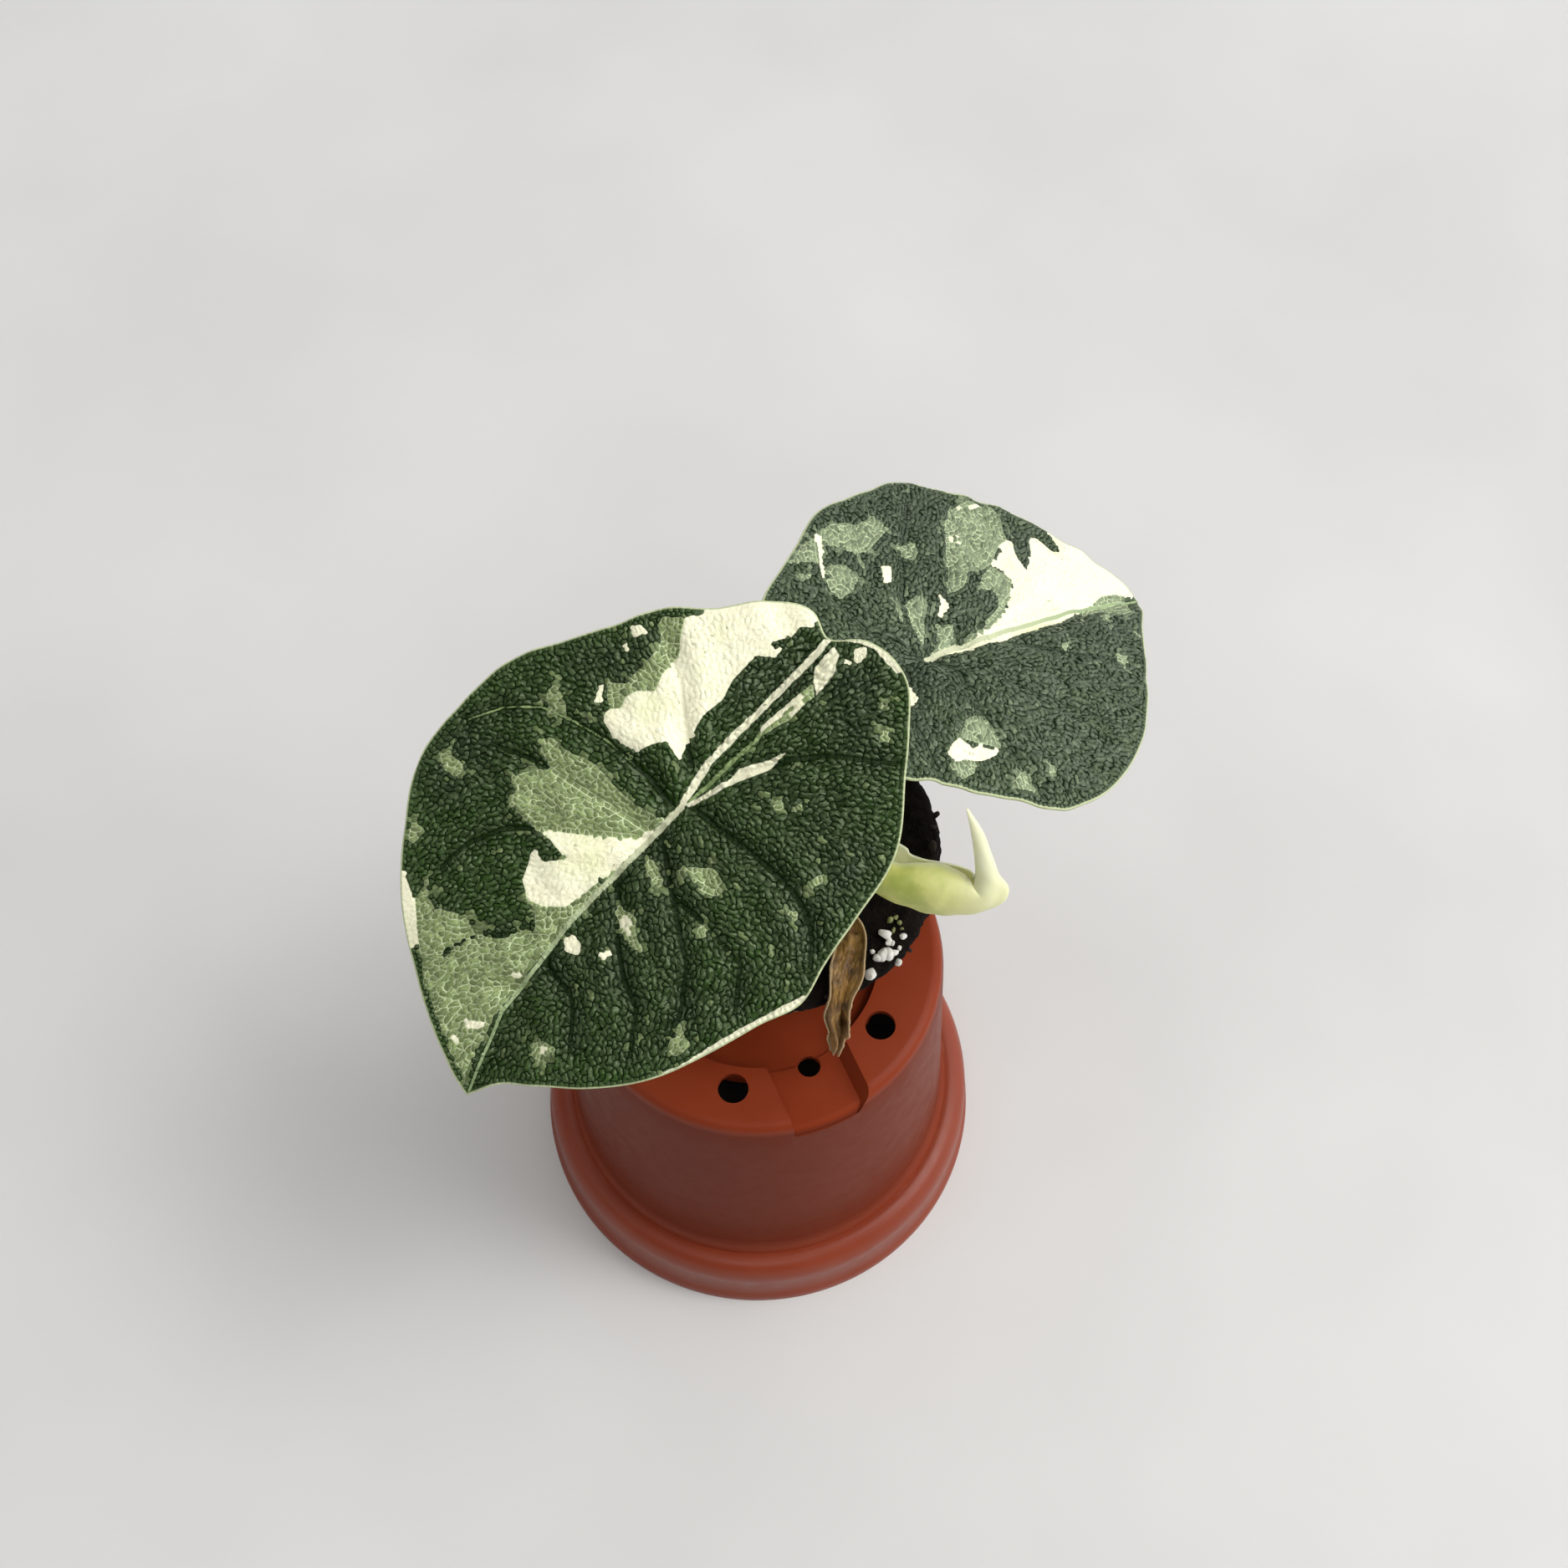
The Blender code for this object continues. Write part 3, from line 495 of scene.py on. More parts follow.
def make_roots():
    """Fine roots that wander round and down the plug's side, each tapering to its end."""
    rng = np.random.default_rng(12)
    spots, faces = [], []
    for _ in range(ROOTS):
        turn, share = rng.random() * 360, 0.60 - 0.30 * rng.random()
        drift, fall = rng.normal(0, 1.6), 0.006 + 0.006 * rng.random()
        width = 0.00012 + 0.00020 * rng.random() ** 2
        line = []
        for _ in range(int(14 + 20 * rng.random())):
            drift += rng.normal(0, 0.7)
            turn += drift * 0.9
            share -= fall * rng.random() * 1.6
            if share < 0.235:
                break
            place = ball_spot(math.radians(turn), share) + BALL_CENTRE
            out = Vector((place.x - BALL_CENTRE.x, place.y - BALL_CENTRE.y, 0.0)).normalized()
            line.append(place + out * (0.00025 + 0.5 * width + 0.8 * max(0.0, crumbs(place))))
        if len(line) > 5:
            tube(line, np.linspace(width, 0.5 * width, len(line)), ROOT_SIDES, spots, faces)
    mesh = bpy.data.meshes.new("roots")
    mesh.from_pydata([tuple(s) for s in spots], [], faces)
    mesh.shade_smooth()
    return mesh


root_skin = plain_grain("root_skin", (0.20, 0.13, 0.07), (0.55, 0.45, 0.30), 0.7, 260)
piece("roots", make_roots(), [root_skin], "peat")

# Stem and leaf stalks.
# A short stem sits in the peat, ringed by old leaf scars. Three smooth stalks rise out of it, each widened at
# its foot where it clasps the stem, and each joined to the underside of its blade.

STEM_CENTRE = POT_AXIS + Vector((0.0035, 0.0075, 0.0))
STEM_R, STEM_TOP, STEM_FOOT = 0.0062, 0.1115, 0.1025
STEM_ROWS, STEM_AROUND = 44, 72
STEM_SHAPE = (
    (0.0, 0.0, STEM_TOP + 0.0002),
    (0.3, STEM_R * 0.55, STEM_TOP - 0.0002),
    (0.5, STEM_R * 0.86, STEM_TOP - 0.0016),
    (0.7, STEM_R * 0.99, BALL_TOP + 0.0018),
    (1.0, STEM_R, STEM_FOOT),
)
STALK_SOCKET = 0.0032
STALK_ROWS, STALK_SIDES = 64, 28
STEM_BROWN, STEM_TAN, STEM_GREEN = (0.10, 0.055, 0.025), (0.26, 0.19, 0.09), (0.24, 0.30, 0.13)
STALK_GREEN, STALK_SAGE, STALK_CREAM = (0.16, 0.25, 0.08), (0.34, 0.42, 0.19), (0.58, 0.61, 0.36)
STALK_FLECK, STALK_FOOT = (0.10, 0.12, 0.05), (0.50, 0.50, 0.30)


def height_in(tree):
    """Height above the floor."""
    return add(tree, "SeparateXYZ", {0: add(tree, "TexCoord").outputs["Object"]}).outputs[2]


def skin_of_stem():
    """Brown, scarred skin that turns green towards the top."""
    mat, tree, shader = finish("stem_skin", 0.6)
    up_it = ranged(tree, height_in(tree), BALL_TOP, STEM_TOP)
    green = times(tree, up_it, ranged(tree, grain(tree, 300, 3), 0.35, 0.6))
    colour = mixed(tree, grain(tree, 600, 4, (1, 1, 0.3)), STEM_BROWN, STEM_TAN)
    colour = mixed(tree, green, colour, STEM_GREEN)
    tree.links.new(colour, shader.inputs["Base Color"])
    relief(tree, shader, grain(tree, 1800, 4, (1, 1, 0.35)), 0.0003, 0.8)
    return mat


def make_stem():
    """The short stem as a turned form with rings of leaf scars and some lumps."""
    spots, faces = [], []
    for radius, z in through(np.linspace(0, 1, STEM_ROWS), STEM_SHAPE):
        open_up = min(1.0, radius / STEM_R)
        for k in range(STEM_AROUND):
            a = math.tau * k / STEM_AROUND
            scar = 0.00022 * math.sin(z * 4200 + 1.5 * math.sin(a)) * open_up
            lump = 0.0006 * noise.noise(Vector((math.cos(a), math.sin(a), z * 300)) * 1.8) * open_up
            out = max(0.0, radius + scar + lump)
            spots.append(STEM_CENTRE + Vector((out * math.cos(a), out * math.sin(a), z + 0.4 * lump)))
    for i in range(STEM_ROWS - 1):
        for k in range(STEM_AROUND):
            a, b = i * STEM_AROUND + k, i * STEM_AROUND + (k + 1) % STEM_AROUND
            faces.append((a, a + STEM_AROUND, b + STEM_AROUND, b))
    faces.append(tuple((STEM_ROWS - 1) * STEM_AROUND + k for k in reversed(range(STEM_AROUND))))
    mesh = bpy.data.meshes.new("short_stem")
    mesh.from_pydata(spots, [], faces)
    mesh.shade_smooth()
    return mesh


piece("short_stem", make_stem(), [skin_of_stem()], "stem", "stem_base")


def stalk_skin():
    """Green stalk skin, streaked and flecked along its length, and paler at its foot."""
    mat, tree, shader = finish("stalk_skin", 0.40, Subsurface_Weight=0.10, Subsurface_Scale=0.002)
    along = grain(tree, 900, 3, (1, 1, 0.16))
    flecks = ranged(tree, grain(tree, 1500, 2, (1, 1, 0.35)), 0.62, 0.70)
    streaks = ranged(tree, grain(tree, 220, 2, (1, 1, 0.2)), 0.50, 0.62)
    colour = mixed(tree, along, STALK_GREEN, STALK_SAGE)
    colour = mixed(tree, streaks, colour, STALK_CREAM)
    colour = mixed(tree, times(tree, flecks, 0.6), colour, STALK_FLECK)
    colour = mixed(tree, ranged(tree, height_in(tree), BALL_TOP + 0.011, BALL_TOP), colour, STALK_FOOT)
    tree.links.new(colour, shader.inputs["Base Color"])
    relief(tree, shader, along, 0.0001, 0.5)
    return mat


def clasp(share, a):
    """How a stalk's section is drawn out at its foot, with a shallow channel all the way up."""
    drawn_out = 0.20 * math.exp(-(share / 0.25) ** 2) * math.cos(2 * a)
    return 1.0 + drawn_out - 0.05 * math.exp(-((math.sin(a / 2)) / 0.16) ** 2)


def stalk(name, node, points, mat, foot_r=0.0022, top_r=0.0015, flare=0.0007):
    """A tapered stalk through the points, clasping the stem at its foot and flared under its blade."""
    knots = [(i / (len(points) - 1), *p) for i, p in enumerate(points)]
    t = np.linspace(0, 1, STALK_ROWS)
    line = through(t, knots) + np.array(POT_AXIS)
    radii = foot_r + (top_r - foot_r) * t
    radii = radii + flare * np.exp(-((1 - t) / 0.035) ** 2) + 0.0005 * np.exp(-(t / 0.22) ** 2)
    spots, faces = [], []
    tube(line, radii, STALK_SIDES, spots, faces, clasp)
    mesh = bpy.data.meshes.new(name)
    mesh.from_pydata([tuple(s) for s in spots], [], faces)
    mesh.shade_smooth()
    piece(name, mesh, [mat], "stalk", node)


# Leaf blades.
# Leathery, pebbled blades, dark green with sage and cream patches. Fine sunk lines part the skin into low
# pebbles, the main veins lie in smooth valleys, and a thin pale line runs round the margin.

# Lengths on a blade are in millimetres, from the spot where its stalk meets it, with the midrib ahead.
MM = 0.001
BLADE_THICKNESS, MARGIN_THICKNESS, THICKENING = 0.9, 0.42, 3.0
MARGIN_STEP, MARGIN_HALF, MARGIN_FREE = 0.95, 0.45, 1.1
VEIN_STEP, VEIN_FREE, VEIN_SIDE_FREE = 1.4, 0.75, 0.45
PATCH_STEP, PATCH_HALF, PATCH_ROOM, PATCH_FREE = 0.72, 0.33, 1.2, 0.48
FIELD_TRIES, FIELD_ROOM, CELL_APART = 80000, 0.85, 0.71
SAME_CORNER, LONG_SIDE, DEEPEST_INSET = 0.12, 0.42, 0.42
JOINED_SHARE, JOINED_ALONG, BRIDGED_SHARE = 0.94, 0.80, 0.26
GROOVE_HALF, GROOVE_DEPTH, GROOVE_WANDER, SHOULDER_RISE = 0.15, 0.17, 0.30, 0.10
PEBBLE_TILT, PEBBLE_RISE, PEBBLE_EXTRA = 0.95, 0.06, 0.20
VEIN_DEPTH, VEIN_WIDTH, VEIN_CREASE, CREASE_DEPTH, CALM_REACH = 0.75, 1.9, 0.50, 0.30, 0.48
SWELL, SWELL_AT, SWELL_REACH = 0.55, 3.1, 1.7
DROOP_OVER, LOBES_OVER, ARCH_OVER, FOLD_OVER = 56, 36, 38, 8
RIPPLE, RIPPLES = 0.10, ((0.52, 0.31), (-0.38, 0.61), (0.80, -0.27), (0.22, 0.93), (-0.97, 0.48))
CELL_KINDS = {"green": (0.0, 0.0, 1.0), "sage": (1.0, 0.0, 0.8), "cream": (1.0, 1.0, 0.22)}
MARK_ROUGH = {"rib": 0.0, "valley": 0.15, "margin": 0.40, "field": 1.0}
WORN, WORN_REACH, WORN_SHARE = -0.45, 0.9, 0.30
DUSTED, DUSTED_REACH, DUSTED_SHARE, STREWN_SHARE = 0.5, 1.5, 0.28, 0.02
MOTTLED_CREAM, STREAK_REACH = 0.45, 1.5
# The first two greens on the next line are painted shade: near black in the grooves between pebbles and in
# the vein creases.
GROOVE_SHADE_GREEN, VEIN_SHADE_GREEN, SAGE_LINE = (0.0012, 0.0055, 0.0008), (0.0015, 0.008, 0.0012), (0.60, 0.68, 0.42)
CREAM_DEEP, CREAM_LIGHT = (0.97, 0.95, 0.67), (0.99, 0.98, 0.77)
CREAM_TINGE, CREAM_LINE = (0.80, 0.84, 0.44), (0.82, 0.77, 0.46)
STREAKS = {"sage_streak": (0.26, 0.36, 0.15), "cream_streak": (0.86, 0.85, 0.63)}
RIB_NEAR, RIB_FAR, MARGIN_LINE = (0.62, 0.63, 0.44), (0.30, 0.40, 0.20), (0.52, 0.58, 0.34)
UNDER_LINE, UNDER_CREAM = (0.20, 0.28, 0.12), (0.72, 0.74, 0.48)
UNDER_VEIN, UNDER_RIB = (0.33, 0.40, 0.18), (0.42, 0.48, 0.23)


def nearest_on(points, line):
    """For each point, how far a line of points is, the share of the way along it, and its direction there."""
    best = np.full(len(points), 1e9)
    share = np.zeros(len(points))
    heading = np.zeros((len(points), 2))
    for i, (start, end) in enumerate(zip(line[:-1], line[1:])):
        span = end - start
        t = np.clip((points - start) @ span / (span @ span), 0.0, 1.0)
        away = points - start - t[:, None] * span
        distance = np.hypot(away[:, 0], away[:, 1])
        closer = distance < best
        best[closer] = distance[closer]
        share[closer] = (i + t[closer]) / (len(line) - 1)
        heading[closer] = span / np.linalg.norm(span)
    return best, share, heading


def evenly(line, step):
    """Points spaced evenly along a line."""
    lengths = np.concatenate(([0.0], np.cumsum(np.linalg.norm(np.diff(line, axis=0), axis=1))))
    count = max(2, int(round(lengths[-1] / step)) + 1)
    at = np.linspace(0.0, lengths[-1], count)
    return np.column_stack([np.interp(at, lengths, line[:, k]) for k in (0, 1)])


def inside(points, polygon):
    """Which points lie inside a polygon."""
    held = np.zeros(len(points), bool)
    for (x0, y0), (x1, y1) in zip(polygon, np.roll(polygon, -1, axis=0)):
        if y0 != y1:
            crosses = (y0 > points[:, 1]) != (y1 > points[:, 1])
            held ^= crosses & (points[:, 0] < x0 + (points[:, 1] - y0) * (x1 - x0) / (y1 - y0))
    return held


def closed(polygon):
    """A polygon's points with the first one again at the end."""
    return np.vstack((polygon, polygon[:1]))


def closest(spots, place):
    """The one of the spots that lies closest to a place."""
    return spots[np.argmin(((spots - place) ** 2).sum(axis=1))]


def ahead_round(ring):
    """The direction in which a ring of points runs at each of them."""
    return np.roll(ring, -1, axis=0) - np.roll(ring, 1, axis=0)


def square_to(ahead, least=0.0):
    """Unit directions to the left of those directions. The least length guards against steps of no length."""
    return np.column_stack((-ahead[:, 1], ahead[:, 0])) / (np.linalg.norm(ahead, axis=1)[:, None] + least)


def sides_of(ring):
    """The sides of a ring of corners, in order."""
    return zip(ring, ring[1:] + ring[:1])


def side_key(a, b):
    """One name for a side, whichever way it is followed."""
    return min(a, b), max(a, b)


class CellCentres:
    """The middles of the skin's cells, kept by squares so that close ones are found quickly."""

    SQUARE = 0.8

    def __init__(self):
        self.places, self.marks, self.squares = [], [], {}

    def square(self, x, y):
        """The square that a place lies in."""
        return int(x // self.SQUARE), int(y // self.SQUARE)

    def crowded(self, x, y, reach):
        """Whether a centre lies within reach."""
        column, row = self.square(x, y)
        for i in (column - 1, column, column + 1):
            for j in (row - 1, row, row + 1):
                for px, py in self.squares.get((i, j), ()):
                    if (px - x) ** 2 + (py - y) ** 2 < reach * reach:
                        return True
        return False

    def add(self, x, y, mark):
        """Sets a centre, marked with the part of the blade that it belongs to."""
        self.places.append((x, y))
        self.marks.append(mark)
        self.squares.setdefault(self.square(x, y), []).append((x, y))


def flow_at(points, veins):
    """Direction in which the veins run near each point."""
    doubled = np.zeros((len(points), 2))
    for vein in veins:
        distance, _, heading = nearest_on(points, vein)
        turn = 2 * np.arctan2(heading[:, 1], heading[:, 0])
        weight = 1.0 / (distance ** 2 + 1.0) ** 1.3
        doubled += weight[:, None] * np.column_stack((np.cos(turn), np.sin(turn)))
    flow = np.arctan2(doubled[:, 1], doubled[:, 0]) / 2
    return np.column_stack((np.cos(flow), np.sin(flow)))


def line_the_margin(centres, edge):
    """Sets cells in pairs across the edge, so that the skin ends on it."""
    ring = evenly(edge, MARGIN_STEP)[:-1]
    inward = square_to(ahead_round(ring))
    room = nearest_on(ring + inward * MARGIN_HALF, edge)[0]
    for (x, y), (nx, ny), free in zip(ring, inward, room):
        centres.add(x - nx * MARGIN_HALF, y - ny * MARGIN_HALF, "outside")
        if free > 0.85 * MARGIN_HALF:
            centres.add(x + nx * MARGIN_HALF, y + ny * MARGIN_HALF, "margin")


def line_the_vein(centres, edge, vein, rank):
    """Sets a row of cells along a vein, and one on each side of it. Veins 0 and 1 make up the midrib."""
    row = evenly(vein, VEIN_STEP)
    share = np.linspace(0.0, 1.0, len(row))
    reach = 2 * (0.60 - 0.36 * share if rank == 0 else 0.42 - 0.18 * share)
    room = nearest_on(row, edge)[0]
    for (x, y), (nx, ny), out, free in zip(row, square_to(np.gradient(row, axis=0)), reach, room):
        if free > MARGIN_FREE and not centres.crowded(x, y, VEIN_FREE):
            centres.add(x, y, "rib" if rank < 2 else "valley")
            for side in (-out, out):
                fx, fy = x + side * nx, y + side * ny
                if free > MARGIN_FREE + out and not centres.crowded(fx, fy, VEIN_SIDE_FREE):
                    centres.add(fx, fy, "field")


def line_the_patch(centres, edge, polygon):
    """Sets cells in pairs across a patch's border, so that its colour ends between them."""
    border = evenly(closed(polygon), PATCH_STEP)[:-1]
    fits = inside(border, edge) & (nearest_on(border, edge)[0] > PATCH_ROOM)
    for (x, y), (nx, ny) in zip(border[fits], square_to(ahead_round(border), 1e-9)[fits]):
        for side in (-PATCH_HALF, PATCH_HALF):
            px, py = x + side * nx, y + side * ny
            if not centres.crowded(px, py, PATCH_FREE):
                centres.add(px, py, "field")


def cell_centres(edge, veins, patches, seed):
    """Sets cells along the margin, the veins and the patch borders, and fills the rest evenly."""
    rng = np.random.default_rng(seed)
    centres = CellCentres()
    line_the_margin(centres, edge)
    for rank, vein in enumerate(veins):
        line_the_vein(centres, edge, vein, rank)
    for _, polygon in patches:
        line_the_patch(centres, edge, polygon)
    low, high = edge.min(axis=0), edge.max(axis=0)
    tries = low + rng.random((FIELD_TRIES, 2)) * (high - low)
    tries = tries[inside(tries, edge)]
    tries = tries[nearest_on(tries, edge)[0] > FIELD_ROOM]
    for x, y in tries.tolist():
        if not centres.crowded(x, y, CELL_APART):
            centres.add(x, y, "field")
    return np.array(centres.places), centres.marks


def meeting_points(places, tris):
    """The point that is equally far from the three cells of each triangle."""
    a, b, c = (places[tris[:, k]] for k in range(3))
    ab, ac = b - a, c - a
    area = 2 * (ab[:, 0] * ac[:, 1] - ab[:, 1] * ac[:, 0])
    ab2, ac2 = (ab ** 2).sum(axis=1), (ac ** 2).sum(axis=1)
    x, y = ac[:, 1] * ab2 - ab[:, 1] * ac2, ab[:, 0] * ac2 - ac[:, 0] * ab2
    return a + np.column_stack((x, y)) / area[:, None]


def net_of(places, marks, edge):
    """The corners where cells meet, which of them are on the edge, and each cell's ring of corners."""
    flat = geometry.delaunay_2d_cdt([Vector(p) for p in places], [], [], 0, 1e-6)
    origin = [ids[0] for ids in flat[3]]
    tris = np.array([[origin[v] for v in f] for f in flat[2]])
    corners = meeting_points(places, tris)
    beyond = np.array([mark == "outside" for mark in marks])
    outer = beyond[tris].any(axis=1)
    dense = evenly(edge, 0.1)
    for i in np.nonzero(outer | ~inside(corners, edge))[0]:
        corners[i] = closest(dense, corners[i])
    owner = list(range(len(tris)))

    def root(i):
        """The corner that a corner has been made one with."""
        while owner[i] != i:
            i = owner[i]
        return i

    shared = {}
    for t, tri in enumerate(tris.tolist()):
        for k in range(3):
            shared.setdefault(side_key(tri[k], tri[k - 1]), []).append(t)
    for pair in shared.values():
        if len(pair) == 2 and outer[pair[0]] == outer[pair[1]]:
            if np.linalg.norm(corners[pair[0]] - corners[pair[1]]) < SAME_CORNER:
                owner[root(pair[0])] = root(pair[1])
    tip = root(int(np.argmin(np.where(outer, ((corners - edge[0]) ** 2).sum(axis=1), 1e9))))
    corners[tip] = edge[0]
    held = {}
    for t, tri in enumerate(tris.tolist()):
        for cell in tri:
            if not beyond[cell]:
                held.setdefault(cell, set()).add(root(t))
    rings = {}
    for cell, ring in held.items():
        ring = np.array(sorted(ring))
        if len(ring) >= 3:
            spokes = corners[ring] - corners[ring].mean(axis=0)
            rings[cell] = ring[np.argsort(np.arctan2(spokes[:, 1], spokes[:, 0]))].tolist()
    return corners, outer, rings


def round_both(first, second, corners):
    """The ring round two cells that touch, or None where it doesn't run plainly round their middle."""
    steps = set(sides_of(first)) | set(sides_of(second))
    steps = {(a, b) for a, b in steps if (b, a) not in steps}
    after = dict(steps)
    start = min(after)
    loop = [start]
    while after.get(loop[-1], start) != start and len(loop) <= len(steps):
        loop.append(after[loop[-1]])
    spokes = corners[loop] - corners[loop].mean(axis=0)
    follow = np.roll(spokes, -1, axis=0)
    turns_one_way = (spokes[:, 0] * follow[:, 1] - spokes[:, 1] * follow[:, 0]).min() > 0.0
    return loop if len(after) == len(steps) == len(loop) and turns_one_way else None


def joined(rings, corners, places, marks, kinds, flow, rng):
    """Joins cells in pairs along the flow, so that most pebbles are twice as long as wide."""
    beside = {}
    for cell, ring in rings.items():
        for a, b in sides_of(ring):
            beside[(b, a)] = cell
    free = {cell for cell in rings if marks[cell] == "field"}
    order = sorted(free)
    rng.shuffle(order)
    merged = dict(rings)
    for cell in order:
        if cell not in free or rng.random() > JOINED_SHARE:
            continue
        best, aligned = None, JOINED_ALONG
        for side in sides_of(rings[cell]):
            other = beside.get(side)
            if other in free and other != cell and kinds[other] == kinds[cell]:
                gap = places[other] - places[cell]
                score = abs(gap @ flow[cell]) / np.linalg.norm(gap)
                if score > aligned:
                    best, aligned = other, score
        loop = None if best is None else round_both(rings[cell], rings[best], corners)
        if loop:
            merged[cell] = loop
            del merged[best]
            free -= {cell, best}
    return merged


def blade_height(points, form, veins):
    """Height of the upper face: drooping, arched, folded at the midrib, rippled, and sunk along its veins."""
    droop, lobes, arch, fold = form
    u, v = points[:, 0], points[:, 1]
    lift = -droop * (np.maximum(u, 0) / DROOP_OVER) ** 2 - lobes * (np.minimum(u, 0) / LOBES_OVER) ** 2
    lift += -arch * (v / ARCH_OVER) ** 2 + fold * (1 - np.exp(-np.abs(v) / FOLD_OVER))
    for wave, (du, dv) in enumerate(RIPPLES):
        lift += RIPPLE * np.sin(du * u + dv * v + 1.7 * wave)
    sunk, swell = np.zeros(len(points)), np.zeros(len(points))
    for rank, vein in enumerate(veins):
        away, share, _ = nearest_on(points, vein)
        fade = 1 - 0.7 * share
        trough = VEIN_DEPTH * fade * np.exp(-(away / VEIN_WIDTH) ** 2)
        if rank < 2:
            ridge = 0.9 - 0.5 * share
            sunk = np.maximum(sunk, trough - CREASE_DEPTH * fade * np.exp(-(away / ridge) ** 2))
        else:
            sunk = np.maximum(sunk, trough + CREASE_DEPTH * fade * np.exp(-(away / VEIN_CREASE) ** 2))
        swell = np.maximum(swell, SWELL * fade * np.exp(-((away - SWELL_AT) / SWELL_REACH) ** 2))
    return lift - sunk + swell * (1 - np.clip(sunk, 0, 0.6))


def blade_frame(turn, slope, roll):
    """Directions of the midrib, across the blade and off its upper face."""
    turn, slope, roll = (math.radians(a) for a in (turn, slope, roll))
    along = Vector((math.cos(slope) * math.cos(turn), math.cos(slope) * math.sin(turn), -math.sin(slope)))
    level = Vector((-math.sin(turn), math.cos(turn), 0.0))
    across = level * math.cos(roll) + along.cross(level) * math.sin(roll)
    return along, across, along.cross(across)


def leaf_edge(outline):
    """The blade's edge, from how far it reaches at each turn."""
    turns = np.linspace(0.0, 360.0, 361)
    reach = through(turns, outline)[:, 0]
    return np.column_stack((reach * np.cos(np.radians(turns)), reach * np.sin(np.radians(turns))))


def coloured(places, patches, rng):
    """Each cell's kind, and how far its paleness strays near a sage border or, seldom, anywhere."""
    kinds = np.array(["green"] * len(places), dtype=object)
    strays = np.zeros(len(places))
    for kind, polygon in patches:
        held = inside(places, polygon)
        kinds[held] = kind
        strays[held] = 0.0
        if kind == "sage":
            border = nearest_on(places, closed(polygon))[0]
            worn = held & (border < WORN_REACH) & (rng.random(len(places)) < WORN_SHARE)
            dusted = ~held & (kinds == "green") & (border < DUSTED_REACH)
            dusted &= rng.random(len(places)) < DUSTED_SHARE
            strays[worn] = WORN
            strays[dusted] = DUSTED
    strewn = (kinds == "green") & (rng.random(len(places)) < STREWN_SHARE)
    strays[strewn] = DUSTED
    return kinds, strays


def cell_looks(rings, kinds, strays, marks, rng):
    """Each cell's paleness, creaminess, roughness and tone."""
    looks = {}
    for cell in rings:
        kind = kinds[cell]
        if kind == "mottled":
            kind = "cream" if rng.random() < MOTTLED_CREAM else "sage"
        pale, cream, rough = CELL_KINDS[kind]
        rough *= MARK_ROUGH[marks[cell]]
        looks[cell] = (pale + strays[cell], cream, rough, float(rng.random()))
    return looks


class SkinSpots:
    """Spots of a skin: places, how far they are raised, and looks (paleness, creaminess, net and tone)."""

    def __init__(self):
        self.places, self.lift, self.looks = [], [], []

    def add(self, place, lift, *looks):
        """Sets a spot and returns its number."""
        self.places.append(place)
        self.lift.append(lift)
        self.looks.append(looks)
        return len(self.places) - 1


def lay_corners(skin, rings, looks, corners, outer):
    """Sets a spot at each corner, as deep as the grooves of the cells that meet there."""
    around = {}
    for cell, ring in rings.items():
        for corner in ring:
            around.setdefault(corner, []).append(looks[cell])
    laid = {}
    for corner, cells in around.items():
        pale, cream, rough, _ = np.mean(cells, axis=0)
        sunk = 0.0 if outer[corner] else -GROOVE_DEPTH * rough
        laid[corner] = skin.add(corners[corner], sunk, pale, cream, 0.0, 0.5)
    return laid


def lay_halves(skin, sides, looks, corners, edge, rng):
    """Sets a spot halfway along each outer or long side. Inside, the groove wanders there or is bridged."""
    dense = evenly(edge, 0.05)
    laid = {}
    for (a, b), cells in sides.items():
        span = corners[b] - corners[a]
        middle = (corners[a] + corners[b]) / 2
        pale, cream, rough, _ = np.mean([looks[cell] for cell in cells], axis=0)
        if len(cells) == 1:
            laid[(a, b)] = skin.add(closest(dense, middle), 0.0, pale, cream, 0.0, 0.5)
        elif np.linalg.norm(span) > LONG_SIDE:
            wander = (rng.random() - 0.5) * GROOVE_WANDER * rough
            place = middle + wander * np.array((-span[1], span[0]))
            bridge = float(rng.random() < BRIDGED_SHARE)
            depth = bridge * 0.4 * SHOULDER_RISE - (1 - bridge) * GROOVE_DEPTH * (0.6 + 0.8 * rng.random())
            net = 0.85 * bridge + 0.25 * rng.random()
            laid[(a, b)] = skin.add(place, depth * rough, pale, cream, net, 0.5)
    return laid


def raise_pebble(skin, faces, loop, look, rng):
    """Raises a low pebble inside a cell's loop of spots, with a shoulder round its crown."""
    pale, cream, rough, tone = look
    flat = np.array([skin.places[i] for i in loop])
    middle = flat.mean(axis=0)
    inward = square_to(np.roll(flat, -1, axis=0) - flat, 1e-9)
    before = np.roll(inward, 1, axis=0)
    bisector = (inward + before) / (1.0 + (inward * before).sum(axis=1))[:, None].clip(0.5)
    inset = flat + bisector * GROOVE_HALF
    too_far = np.linalg.norm(inset - flat, axis=1) > DEEPEST_INSET * np.linalg.norm(middle - flat, axis=1)
    inset[too_far] = flat[too_far] + DEEPEST_INSET * (middle - flat[too_far])
    tilt = (rng.random(2) - 0.5) * PEBBLE_TILT * rough
    rise = PEBBLE_RISE + PEBBLE_EXTRA * rng.random()
    shoulder = []
    for place in inset:
        lift = rough * SHOULDER_RISE * (0.5 + rng.random()) + float((place - middle) @ tilt)
        shoulder.append(skin.add(place, lift, pale, cream, 1.0, tone))
    crown = skin.add(middle, rough * (SHOULDER_RISE + rise), pale, cream, 1.0, tone)
    for (a, b), (c, d) in zip(sides_of(loop), sides_of(shoulder)):
        faces += [(a, b, d), (a, d, c), (c, d, crown)]
    return middle


